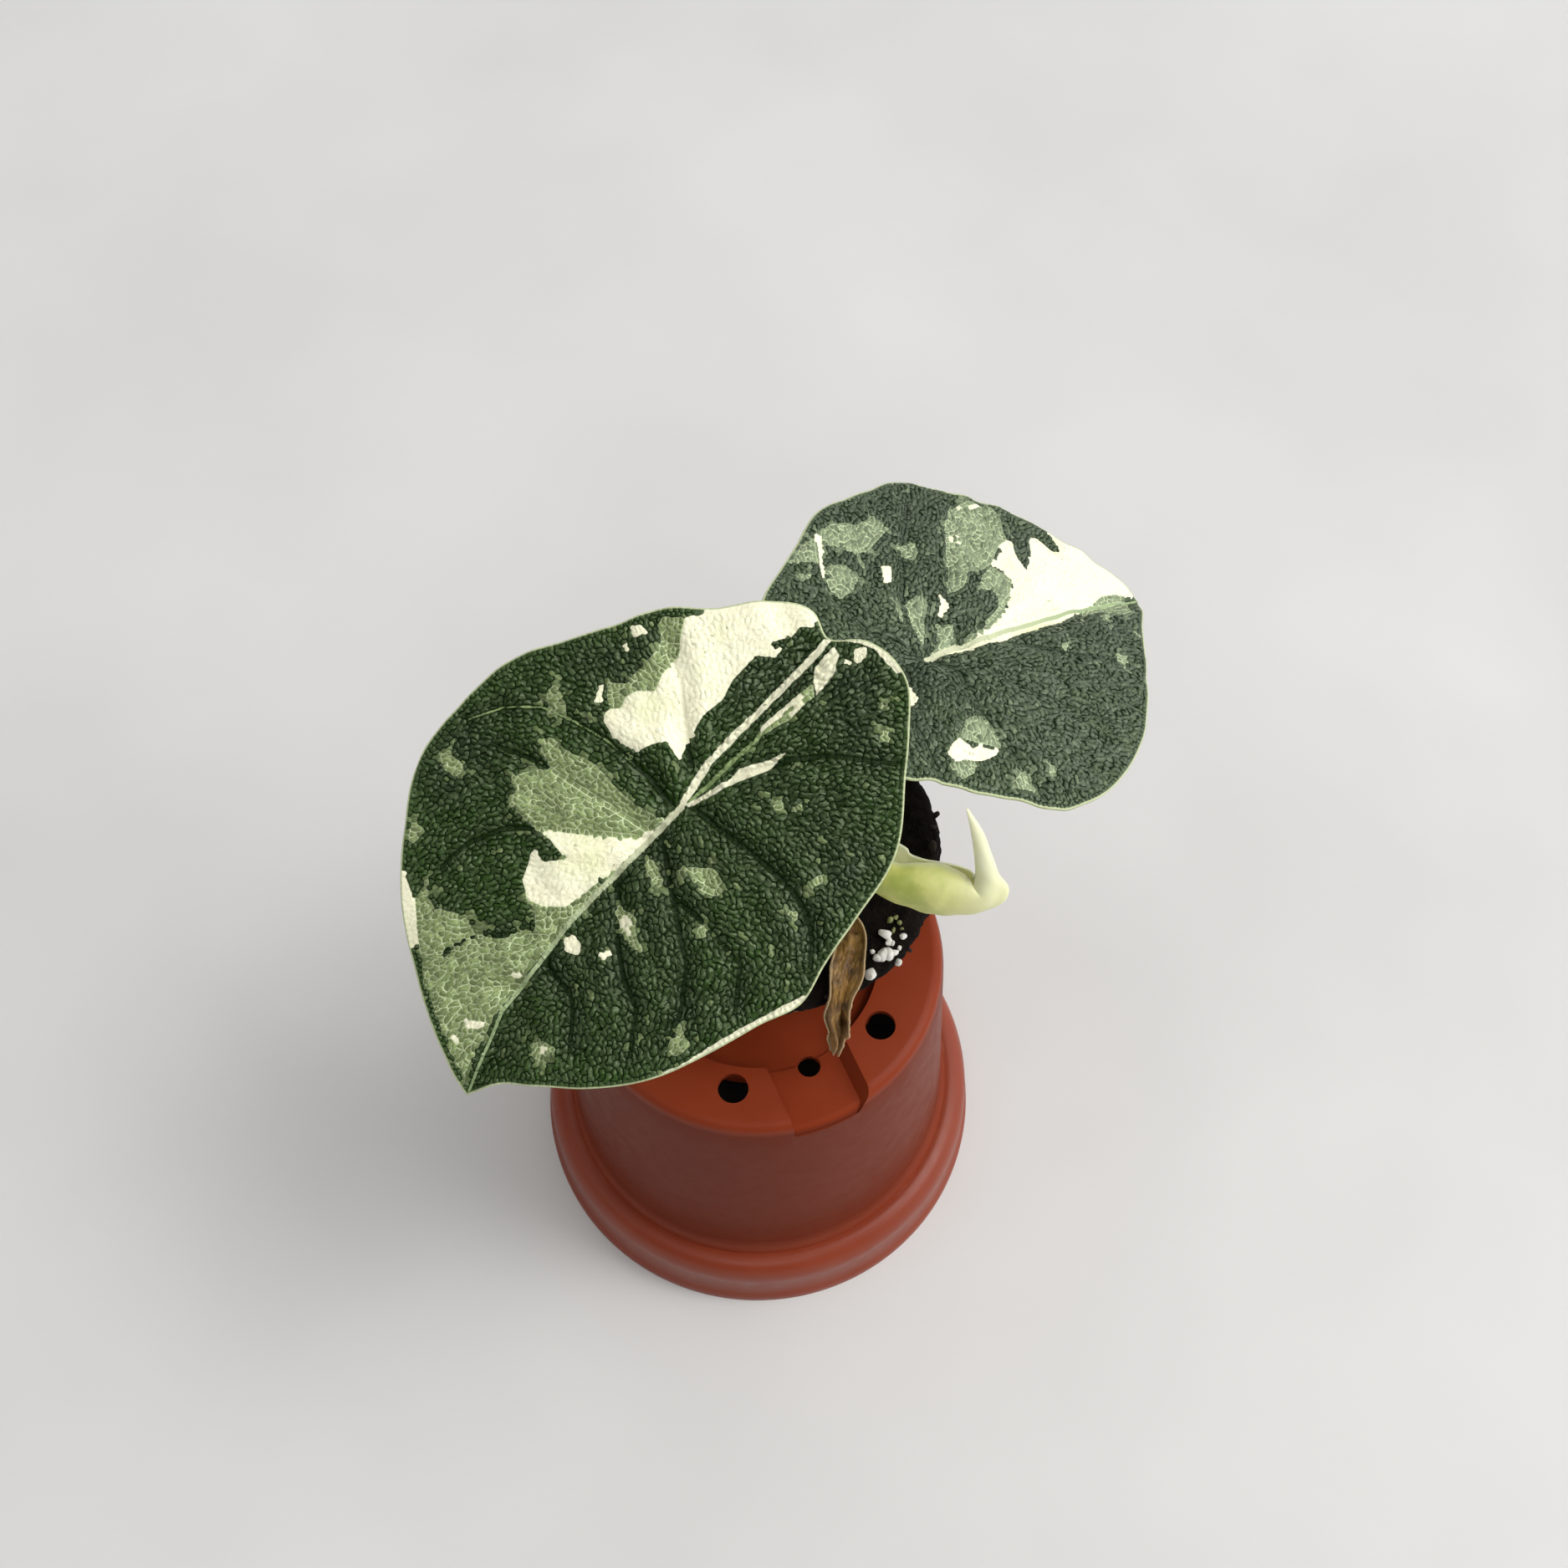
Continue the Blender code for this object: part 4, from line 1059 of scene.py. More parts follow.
def upper_side(edge, veins, patches, seed):
    """Lays the upper skin cell by cell: grooves shared between cells, and a low pebble in each."""
    rng = np.random.default_rng(seed + 100)
    places, marks = cell_centres(edge, veins, patches, seed)
    kinds, strays = coloured(places, patches, rng)
    corners, outer, rings = net_of(places, marks, edge)
    rings = joined(rings, corners, places, marks, kinds, flow_at(places, veins), rng)
    looks = cell_looks(rings, kinds, strays, marks, rng)
    sides = {}
    for cell, ring in rings.items():
        for a, b in sides_of(ring):
            sides.setdefault(side_key(a, b), []).append(cell)
    skin, faces, cells = SkinSpots(), [], []
    corner_at = lay_corners(skin, rings, looks, corners, outer)
    half_at = lay_halves(skin, sides, looks, corners, edge, rng)
    for cell, ring in rings.items():
        walk = []
        for a, b in sides_of(ring):
            key = side_key(a, b)
            walk.append((corner_at[a], half_at.get(key), corner_at[b], len(sides[key]) == 1))
        loop = [i for start, half, _, _ in walk for i in (start, half) if i is not None]
        middle = raise_pebble(skin, faces, loop, looks[cell], rng)
        pale, cream, _, tone = looks[cell]
        cells.append((walk, middle, (pale, cream, 1.0, tone)))
    return skin, faces, cells


def underside(skin, cells):
    """Lays a plain skin below the cells, with a hub in each. It also gives the rim, from spot to spot."""
    under, below, rim, faces = SkinSpots(), {}, [], []

    def spot_below(i):
        """The spot below one of the upper skin, set when it is first asked for."""
        if i not in below:
            below[i] = under.add(skin.places[i], 0.0, *skin.looks[i])
        return below[i]

    for walk, middle, look in cells:
        hub = under.add(middle, 0.0, *look)
        for a, half, b, outer in walk:
            if outer:
                faces.append((spot_below(half), spot_below(a), hub))
                faces.append((spot_below(b), spot_below(half), hub))
                rim += [(a, half), (half, b)]
            else:
                faces.append((spot_below(b), spot_below(a), hub))
    return under, below, rim, faces


def blade_traits(flat, looks, edge, veins, streaks):
    """What the finishes read at each spot: its looks, and how far off edge, midrib, veins and streaks are."""
    midrib, along, _ = nearest_on(flat, veins[0])
    rib_half = np.where(flat[:, 0] < -0.5, 0.01, 0.55 - 0.34 * along)
    in_vein = np.full(len(flat), -6.0)
    for vein in veins[2:]:
        away, share, _ = nearest_on(flat, vein)
        in_vein = np.maximum(in_vein, (0.42 - 0.22 * share) - away)
    values = {
        "pale": looks[:, 0], "cream": looks[:, 1], "net": looks[:, 2], "tone": looks[:, 3],
        "edge": np.minimum(nearest_on(flat, edge)[0], 4.0), "rib": np.minimum(midrib / rib_half, 4.0),
        "vein": in_vein, "far": along,
        "cream_streak": np.full(len(flat), -STREAK_REACH), "sage_streak": np.full(len(flat), -STREAK_REACH),
    }
    for kind, polygon in streaks:
        away = nearest_on(flat, closed(polygon))[0]
        away = np.where(inside(flat, polygon), away, -away)
        values[kind] = np.maximum(values[kind], away.clip(-STREAK_REACH, STREAK_REACH))
    return values


def set_traits(mesh, values):
    """Stores what finishes read at each spot of a mesh."""
    for key, value in values.items():
        mesh.attributes.new(key, "FLOAT", "POINT").data.foreach_set("value", value.astype(np.float32))


def leaf_blade(name, at, facing, outline, form, veins, patches, seed):
    """Builds a blade of an upper skin of pebbles, a plain underside, and the thin edge between them."""
    edge = leaf_edge(outline)
    veins = [np.array(vein, float) for vein in veins]
    drawn = [(kind, np.array(polygon, float)) for kind, polygon in patches]
    streaks = [patch for patch in drawn if patch[0] in STREAKS]
    skin, faces, cells = upper_side(edge, veins, [p for p in drawn if p[0] not in STREAKS], seed)
    under, below, rim, under_faces = underside(skin, cells)
    top, bottom = np.array(skin.places), np.array(under.places)
    calm = np.ones(len(top))
    for vein in veins:
        away, share, _ = nearest_on(top, vein)
        calm = np.minimum(calm, 1 - (0.90 - 0.6 * share) * np.exp(-(away / CALM_REACH) ** 2))
    above = blade_height(top, form, veins) + np.array(skin.lift) * calm
    grown = np.clip(nearest_on(bottom, edge)[0] / THICKENING, 0, 1)
    thickness = MARGIN_THICKNESS + (BLADE_THICKNESS - MARGIN_THICKNESS) * grown * (2 - grown)
    beneath = blade_height(bottom, form, veins) - thickness
    for i, j in rim:
        under_i, under_j = len(top) + below[i], len(top) + below[j]
        faces += [(j, i, under_i), (j, under_i, under_j)]
    on_top = len(faces)
    faces += [tuple(len(top) + i for i in face) for face in under_faces]

    along, across, off = (np.array(d) for d in facing)
    flat = np.vstack((top, bottom))
    heights = np.concatenate((above, beneath))
    world = flat[:, :1] * along + flat[:, 1:] * across + heights[:, None] * off
    mesh = bpy.data.meshes.new(name)
    mesh.from_pydata((world * MM + np.array(at + POT_AXIS)).tolist(), [], faces)
    slots = np.zeros(len(faces), np.int32)
    slots[on_top:] = 1
    mesh.polygons.foreach_set("material_index", slots)
    set_traits(mesh, blade_traits(flat, np.array(skin.looks + under.looks), edge, veins, streaks))
    mesh.shade_smooth()
    return mesh


def trait(tree, name):
    """What the mesh stores under a name, at each spot."""
    return add(tree, "Attribute", attribute_name=name).outputs["Fac"]


def toned(colour, by):
    """A colour made darker or lighter."""
    return tuple(by * c for c in colour)


def leaf_skin(name, cool, fresh, sage_shade, tone_and_sheen, gloss, vein_shade):
    """Upper skin: glossy dark green pebbles with painted shade in grooves and vein valleys and partly painted
    sheen, sage with pale lines, and nearly smooth cream.
    """
    mat, tree, shader = finish(name, 0.28, IOR=1.5, Specular_Tint=(0.86, 1.0, 0.70, 1.0))
    net, tone, vein, edge = (trait(tree, key) for key in ("net", "tone", "vein", "edge"))
    line = ranged(tree, net, 0.86, 0.20)
    fine = grain(tree, 2600, 3)
    freshness = ranged(tree, grain(tree, 38, 2), 0.42, 0.62)
    freshness = maths(tree, "ADD", freshness, ranged(tree, edge, 4.0, 1.2, 0.0, 0.6))
    green = mixed(tree, freshness, cool, fresh)
    # Partly painted sheen: a grey-green laid over the pebbles by each cell's random tone, which is also a
    # random tone.
    green = mixed(tree, times(tree, tone, 0.70), green, tone_and_sheen)
    green = mixed(tree, ranged(tree, fine, 0.40, 0.75, 0.0, 0.5), green, toned(cool, 0.4))
    # Painted shade: a darker green in the valleys along the main veins.
    green = mixed(tree, ranged(tree, vein, -2.4, -0.5, 0.0, 0.65 * vein_shade), green, toned(cool, 0.45))
    # Painted shade in the grooves between the green pebbles.
    green = mixed(tree, times(tree, line, 0.95), green, GROOVE_SHADE_GREEN)
    # Painted shade: the vein creases themselves are near black.
    green = mixed(tree, ranged(tree, vein, -0.02, 0.16, 0.0, vein_shade), green, VEIN_SHADE_GREEN)
    sage = mixed(tree, tone, toned(sage_shade, 0.70), toned(sage_shade, 1.30))
    sage = mixed(tree, ranged(tree, fine, 0.40, 0.75, 0.0, 0.7), sage, toned(sage_shade, 0.40))
    sage = mixed(tree, line, sage, SAGE_LINE)
    cream = mixed(tree, grain(tree, 160, 3), CREAM_DEEP, CREAM_LIGHT)
    cream = mixed(tree, ranged(tree, grain(tree, 90, 3), 0.54, 0.70, 0.0, 0.45), cream, CREAM_TINGE)
    cream = mixed(tree, times(tree, line, 0.28), cream, CREAM_LINE)
    pale = mixed(tree, ranged(tree, trait(tree, "cream"), 0.42, 0.58), sage, cream)
    paleness = ranged(tree, trait(tree, "pale"), 0.35, 0.65)
    skin = mixed(tree, paleness, green, pale)
    frayed = ranged(tree, grain(tree, 700, 2), 0.3, 0.7, -0.12, 0.12)
    for streak, shade in STREAKS.items():
        held = ranged(tree, maths(tree, "ADD", trait(tree, streak), frayed), -0.06, 0.08)
        skin = mixed(tree, held, skin, shade)
    ribbon = maths(tree, "ADD", trait(tree, "rib"), ranged(tree, fine, 0.3, 0.7, -0.15, 0.15))
    rib_shade = mixed(tree, ranged(tree, trait(tree, "far"), 0.0, 0.75), RIB_NEAR, RIB_FAR)
    skin = mixed(tree, ranged(tree, ribbon, 1.10, 0.80), skin, rib_shade)
    skin = mixed(tree, ranged(tree, edge, 0.34, 0.14), skin, MARGIN_LINE)
    tree.links.new(skin, shader.inputs["Base Color"])
    tree.links.new(ranged(tree, fine, 0.3, 0.7, 0.12, 0.24), shader.inputs["Roughness"])
    dull = maths(tree, "MAXIMUM", line, ranged(tree, vein, -0.25, 0.0, 0.0, vein_shade))
    dull = times(tree, dull, maths(tree, "SUBTRACT", 1.0, paleness))
    tree.links.new(ranged(tree, dull, 0.0, 0.8, gloss, 0.05), shader.inputs["Specular IOR Level"])
    relief(tree, shader, grain(tree, 1500, 4), 0.00026, 0.8)
    return mat


def leaf_back(name, green, sage_shade):
    """Underside: matt, paler, with the veins and the net standing light."""
    mat, tree, shader = finish(name, 0.55, IOR=1.42)
    line = ranged(tree, trait(tree, "net"), 0.55, 0.0)
    colour = mixed(tree, grain(tree, 120, 4), toned(green, 0.8), toned(green, 1.25))
    colour = mixed(tree, times(tree, line, 0.5), colour, UNDER_LINE)
    pale = mixed(tree, ranged(tree, trait(tree, "cream"), 0.3, 0.7), sage_shade, UNDER_CREAM)
    colour = mixed(tree, ranged(tree, trait(tree, "pale"), 0.3, 0.7), colour, pale)
    colour = mixed(tree, ranged(tree, trait(tree, "vein"), -0.10, 0.15, 0.0, 0.85), colour, UNDER_VEIN)
    colour = mixed(tree, ranged(tree, trait(tree, "rib"), 1.6, 0.8), colour, UNDER_RIB)
    tree.links.new(colour, shader.inputs["Base Color"])
    relief(tree, shader, grain(tree, 1800, 4), 0.0001, 0.5)
    return mat


# Front leaf.
# The larger blade, of living leaf, held over the pot and tipped towards the viewer by a stalk that meets its
# underside well inside the edge. Its cream runs along the midrib and in stripes down one back lobe, and sage
# reaches the tip.

FRONT_AT = Vector((-0.0111, -0.0074, 0.1550))
FRONT_FACING = blade_frame(230.1, 20.0, -8.0)
FRONT_FORM = (6.0, 1.5, 3.5, 2.8)
FRONT_COOL, FRONT_FRESH = (0.008, 0.021, 0.004), (0.019, 0.060, 0.002)
# On the next line, the last value sets how strongly the vein valleys and creases are painted with shade.
# On the next line, the second colour is a grey-green laid on by each cell's random tone: partly random tone,
# partly painted sheen.
FRONT_SAGE, FRONT_TONE_AND_SHEEN, FRONT_GLOSS, FRONT_VEIN_SHADE = (0.235, 0.305, 0.120), (0.052, 0.088, 0.030), 0.64, 0.62
UNDERSIDE_GREEN, UNDERSIDE_SAGE = (0.075, 0.135, 0.055), (0.30, 0.38, 0.20)
JOINT_DEPTH, FRONT_UPRIGHT = 0.0017, 0.0062
FRONT_OUTLINE = (
    (0, 56.2), (3, 52.2), (9, 48.9), (19, 45.6), (30, 42.4), (46, 37.6), (58, 35.5), (70, 35.3), (80, 32.9),
    (94, 32.0), (116, 33.9), (136, 34.9), (146, 36.9), (158, 39.8), (170, 38.1), (177, 34.5), (184, 36.4),
    (196, 34.4), (208, 31.3), (224, 31.1), (238, 30.4), (252, 31.9), (268, 36.1), (283, 39.0), (296, 42.5),
    (311, 44.1), (328, 47.0), (341, 49.5), (352, 53.0), (360, 56.2),
)
FRONT_VEINS = (
    ((0, 0), (12, -1.3), (24, -2.7), (42, -2.9), (55.5, 0)),
    ((0, 0), (-7.8, -0.2), (-22, 1.1), (-34, 2.0)),
    ((-1.0, 1.6), (-0.9, 9), (-1.0, 16), (-0.4, 21.5), (1.2, 25.7), (3.9, 28.7), (8.1, 31.5)),
    ((4.7, -0.4), (10, 5.7), (14.4, 10.9), (18.5, 15.9), (24.5, 19.4), (29.4, 20.7)),
    ((11.7, 9.1), (11.8, 13.6), (13.4, 22.2), (19.3, 25.9)),
    ((14.5, -1.3), (21.7, 4.4), (26.5, 9.6), (28.3, 13.5), (34.7, 17.2)),
    ((26.6, -3.9), (32.3, -1.4), (33.3, 4.2), (35.3, 6.2), (39.8, 9.1)),
    ((-8.7, 4.1), (-16.2, 9.3), (-20, 13.2), (-22.7, 17.8), (-25.8, 23)),
    ((0.7, -1.8), (-0.5, -6.6), (-1.0, -15.4), (-0.2, -21.7), (1.2, -27.1), (5, -32.2), (9.8, -35.4)),
    ((6.1, -2.5), (7.2, -12.2), (8.1, -22), (10.4, -29.5)),
    ((7.3, -1.6), (12.1, -9.2), (16.6, -16), (19.3, -19.7), (24.9, -23.2), (30, -24.1)),
    ((28.1, -3.3), (31.8, -8.9), (36.2, -13.9), (40.9, -16.2)),
    ((37, -2.6), (41, -7.1), (44.4, -8.1), (48.8, -8.4)),
    ((-6, -3), (-15, -12), (-20, -21)),
)
FRONT_PATCHES = (
    ("sage", ((5.5, -24), (4, -22.7), (3.9, -18), (3, -15.5), (3.5, -11.5), (4.2, -7.7), (3.9, -4),
              (3.2, -1.0), (9.4, -2.0), (12.9, -6.4), (14.4, -10.0), (16.6, -15.0), (16, -21.5),
              (14.9, -22.4), (14.1, -21.7), (13.4, -23.2), (12.2, -23.7), (9.7, -21.6), (7.7, -19.8),
              (7, -21.1))),
    ("cream", ((16, -15.1), (13, -9.7), (11.4, -6.9), (9.7, -4.1), (7.6, -2.2), (4.1, -0.9), (13, -1.9),
               (21, -4.1), (22.9, -4.5), (25, -7.2), (25.8, -9.9), (24, -12.5), (21.8, -13.2),
               (19.6, -14.1), (18.9, -13.4), (19.9, -11.7), (17.2, -8.9), (16.7, -11.9))),
    ("sage", ((26, -9.7), (24.9, -7.2), (22.9, -4.5), (13.2, -1.7), (29.2, -3), (43.4, -3.5), (53.7, -2),
              (51.4, -7.1), (45.2, -16.4), (41, -20.7), (36.7, -24.8), (33.4, -24.9), (35.5, -22.8),
              (36, -21), (33.8, -16.3), (35.4, -13.4), (32.9, -9.3), (30.6, -8.4), (28.6, -6.3),
              (27.1, -7.3))),
    ("green", ((40.3, -16), (37.1, -14.4), (35.5, -13.3), (39.1, -14.9), (42, -15.2))),
    ("cream", ((34.6, -30), (34.9, -28.4), (37, -24.7), (41.9, -20.2), (43.3, -19.4), (43, -22.5),
               (38, -28))),
    ("cream", ((46.7, -6.9), (44.7, -3.5), (46.4, -4.2), (47.6, -5.9))),
    ("cream", ((50.1, -7), (49.2, -6.5), (50.3, -5.2), (50.8, -6.2))),
    ("cream", ((36.3, -5.1), (35.5, -4.1), (36.2, -3.6), (36.9, -4.5))),
    ("sage", ((17.9, 1.3), (17.6, 5.5), (19.1, 6), (21, 9.3), (21.6, 8.7), (21.4, 5.5), (19, 1.9))),
    ("cream", ((18.2, 3), (18.5, 5), (20.4, 6.4), (20, 3.8))),
    ("cream", ((26.9, -1.9), (25.8, -1.1), (26.2, 0.8), (27.9, 1.5), (28.6, -1))),
    ("cream", ((25.5, 4), (24, 4.9), (24.5, 5.7), (26, 5))),
    ("sage", ((43.2, 3.8), (41.5, 5.1), (41.1, 7.6), (42.5, 6.9), (44, 6.8), (44.5, 5.3))),
    ("cream", ((42.4, 5), (41.8, 6.6), (43.3, 6.2))),
    ("sage", ((9.5, 0.3), (9.2, 1.6), (10.3, 4.6), (11.6, 5.2), (11.7, 3.6), (10.7, 1.2))),
    ("sage", ((7.2, 6.1), (5.5, 8.4), (4.3, 10.4), (5.5, 14.2), (7.5, 12.9), (8.1, 10.8), (7.8, 8.3))),
    ("sage", ((28.9, 20.8), (26.5, 20.9), (27.7, 23.9), (30.6, 23), (30.2, 21.3))),
    ("sage", ((-2.7, 22.7), (-5, 23.6), (-4.2, 24.5), (-2.1, 23.9))),
    ("sage", ((2.6, 23.4), (1.6, 24), (2.7, 25.1), (3.3, 24.3))),
    ("sage", ((12.6, 14), (12.4, 15.1), (13.6, 15.3), (13.6, 14.1))),
    ("cream_streak", ((33.5, 22.8), (31.3, 24.2), (23.3, 27.2), (17, 29.9), (11, 32.6), (11, 36.5),
                      (18, 34), (30, 28.5), (36, 25))),
    ("cream", ((-23.3, -17.5), (-28.3, -15), (-33.1, -11), (-37, -5), (-38, -1), (-35, 0.4),
               (-35.4, -1.2), (-34.5, -1), (-33.1, -2.8), (-27.1, -2.8), (-25.4, -5.3), (-20.3, -5.7),
               (-16.9, -5.1), (-13.1, -5.9), (-8.4, -5.3), (-5.4, -4.5), (-6.5, -7.9), (-4.9, -9.2),
               (-2.3, -10.5), (-2.1, -15), (-3.1, -17.9), (-4.9, -18.2), (-6.3, -16.7), (-7.9, -17.2),
               (-9.9, -16.3), (-11.6, -14), (-14.5, -14.9), (-18.1, -14.7), (-20.4, -16.2))),
    ("green", ((-28.5, -4.6), (-31, -3.2), (-29.5, -2.2), (-27.9, -3.8))),
    ("sage", ((-8.1, -20.8), (-9.8, -18.5), (-12.9, -18.4), (-17.3, -17.7), (-20, -20.5), (-21.5, -20.5),
              (-23.4, -17.6), (-20.4, -16.2), (-18.1, -14.7), (-14.5, -14.9), (-11.6, -14), (-9.9, -16.3),
              (-7.9, -17.2), (-6.3, -16.7), (-5.2, -18.2), (-6.3, -19.7))),
    ("cream", ((-17.2, -23.6), (-18.3, -22.5), (-18.1, -20.6), (-15.9, -22.3))),
    ("cream", ((-14.4, -22.8), (-14.4, -21.4), (-13.4, -21.7))),
    ("cream", ((-7.2, -21.6), (-6.8, -20.4), (-5.4, -19.7), (-4.2, -20.7), (-6, -21.3))),
    ("sage", ((-1.3, -27.9), (-3, -27.3), (-1.6, -24.3), (0, -23), (0.9, -26))),
    ("sage", ((16.9, -35.3), (15.5, -34.7), (16, -31.4), (16.8, -30.8), (18, -31.5), (18.3, -33.8))),
    ("sage", ((28.3, -32.3), (27.4, -32), (27.6, -29.7), (30.7, -30.4), (30, -31.6))),
    ("cream_streak", ((0.6, -0.4), (-5.6, -1.4), (-12.7, -1.1), (-19.6, -0.1), (-26.3, 0.5), (-32.4, 1.2),
                      (-34, 1.3), (-34.6, 2.3), (-31.6, 2.4), (-25.7, 1.7), (-18.9, 0.9), (-13.3, 0.2),
                      (-8, -0.3), (0.6, 0.4))),
    ("sage_streak", ((-0.8, 0.2), (-8.6, 1.4), (-15.7, 2.7), (-17.2, 3.4), (-12.2, 2.8), (-6, 1.8),
                     (-0.9, 0.7))),
    ("mottled", ((-15.7, 2.7), (-17.3, 2.1), (-22.2, 3.1), (-27.4, 4.4), (-25.9, 5.8), (-20.8, 5),
                 (-16.8, 3.4))),
    ("cream_streak", ((-27.4, 4.4), (-29.4, 3), (-34.1, 3.2), (-33.2, 4.8), (-30.7, 6.1), (-26, 6.1))),
    ("cream_streak", ((-0.4, 0.2), (-7.6, 3.3), (-10.2, 3.7), (-13.4, 6.1), (-16.5, 7.9), (-12.6, 7.4),
                      (-8.2, 4.6), (-3.6, 2.6), (-0.5, 0.8))),
    ("sage_streak", ((-0.28, -21.5), (1.03, -27.15), (4.9, -32.3), (9.7, -35.5), (9.9, -35.3),
                     (5.1, -32.1), (1.25, -27.05), (-0.02, -21.5), (-0.87, -15.4), (-0.62, -10.0),
                     (-1.1, -15.4))),
    ("cream_streak", ((-34.6, 2.3), (-38.5, 4), (-42, 9), (-39.5, 15.4), (-36.3, 13.7), (-37.3, 8.5),
                      (-36.2, 5.3))),
    ("cream", ((-35.4, 6.2), (-37.1, 7.3), (-35.8, 8.3), (-34.3, 8.1), (-33.8, 7.1))),
    ("cream", ((-33, 6), (-33.9, 6.9), (-33.1, 7.2))),
    ("sage", ((-30.9, 14.6), (-31.6, 16.2), (-30.2, 15.9))),
    ("sage", ((-26.8, 17.8), (-28.3, 18), (-27.6, 19.2), (-26.3, 18.5))),
    ("sage", ((-9, 10.7), (-10.3, 12), (-9.4, 13), (-8.2, 12))),
    ("sage", ((-10.1, 13.9), (-11.5, 14.5), (-11.1, 15.7), (-9.9, 14.7))),
)

front_skin = leaf_skin(
    "front_leaf_skin", FRONT_COOL, FRONT_FRESH, FRONT_SAGE, FRONT_TONE_AND_SHEEN, FRONT_GLOSS, FRONT_VEIN_SHADE,
)
back_of_leaf = leaf_back("leaf_underside", UNDERSIDE_GREEN, UNDERSIDE_SAGE)
front_mesh = leaf_blade(
    "front_leaf", FRONT_AT, FRONT_FACING, FRONT_OUTLINE, FRONT_FORM, FRONT_VEINS, FRONT_PATCHES, seed=3,
)
piece("front_leaf", front_mesh, [front_skin, back_of_leaf], "leaf", "leaf_blade_front")
stalk_finish = stalk_skin()
front_joint = FRONT_AT - FRONT_FACING[2] * JOINT_DEPTH
stalk("front_stalk", "petiole_front", (
    (0.0007, 0.0063, STEM_TOP - STALK_SOCKET), (0.0, 0.0035, 0.1200), (-0.0050, -0.0010, 0.1360),
    front_joint - FRONT_FACING[2] * FRONT_UPRIGHT, front_joint,
), stalk_finish)

# Back leaf.
# The second blade, of the same living leaf, tipped away behind the first on a stalk of its own. It has a
# broad cream wedge, sage islands and a greyer green, whose grey is partly painted sheen.

BACK_AT = Vector((0.0282, 0.0268, 0.1430))
BACK_FACING = blade_frame(36.0, 25.0, 6.0)
BACK_FORM = (5.0, 1.0, 3.5, 3.5)
BACK_COOL, BACK_FRESH = (0.030, 0.048, 0.026), (0.034, 0.064, 0.022)
# On the next line, the last value sets how strongly the vein valleys and creases are painted with shade.
# On the next line, the second colour is a grey-green laid on by each cell's random tone: partly random tone,
# partly painted sheen.
BACK_SAGE, BACK_TONE_AND_SHEEN, BACK_GLOSS, BACK_VEIN_SHADE = (0.23, 0.29, 0.17), (0.078, 0.105, 0.072), 0.72, 0.25
BACK_UPRIGHT = 0.0052
BACK_OUTLINE = (
    (0, 59.5), (3, 57.3), (10, 52.8), (19, 48.2), (32, 44.5), (48, 40.6), (60, 39.2), (75, 34.6), (93, 32.1),
    (113, 28.8), (128, 28.8), (144, 30.8), (160, 31.8), (172, 30.0), (180, 27.2), (188, 29.0), (205, 30.8),
    (224, 28.5), (236, 26.8), (247, 27.6), (262, 29.4), (274, 33.0), (290, 36.2), (305, 38.7), (325, 42.5),
    (340, 45.8), (352, 51.8), (360, 59.5),
)
BACK_VEINS = (
    ((0, 0), (20, 0.4), (40, 0.6), (59, 0)),
    ((0, 0), (-5.3, 2), (-16, 2.2), (-26.8, 0)),
    ((0.3, -0.1), (6.2, -3.7), (11, -7.4), (14.4, -13), (21.4, -18.6), (29.2, -23.8)),
    ((0.3, -0.1), (2.9, -3.8), (1, -13.1), (0.7, -19.3), (2.1, -25.3), (2, -30.8)),
    ((0.1, 0.1), (-9, 7.5), (-11.4, 15.4), (-10.7, 19.3), (-7, 25.4)),
    ((0.1, 0.1), (1, 10.4), (8, 19.9), (17.8, 29.4)),
    ((0.5, 0.2), (6.3, 5.4), (13.5, 12.2), (23.2, 23.8), (28, 27.2)),
    ((8.8, 1.1), (18.8, 3.4), (30.7, 8.6), (40.8, 14.4)),
    ((-6, -1.5), (-13, -11), (-15, -22)),
    ((16, -0.3), (30, -8), (40, -13)),
)
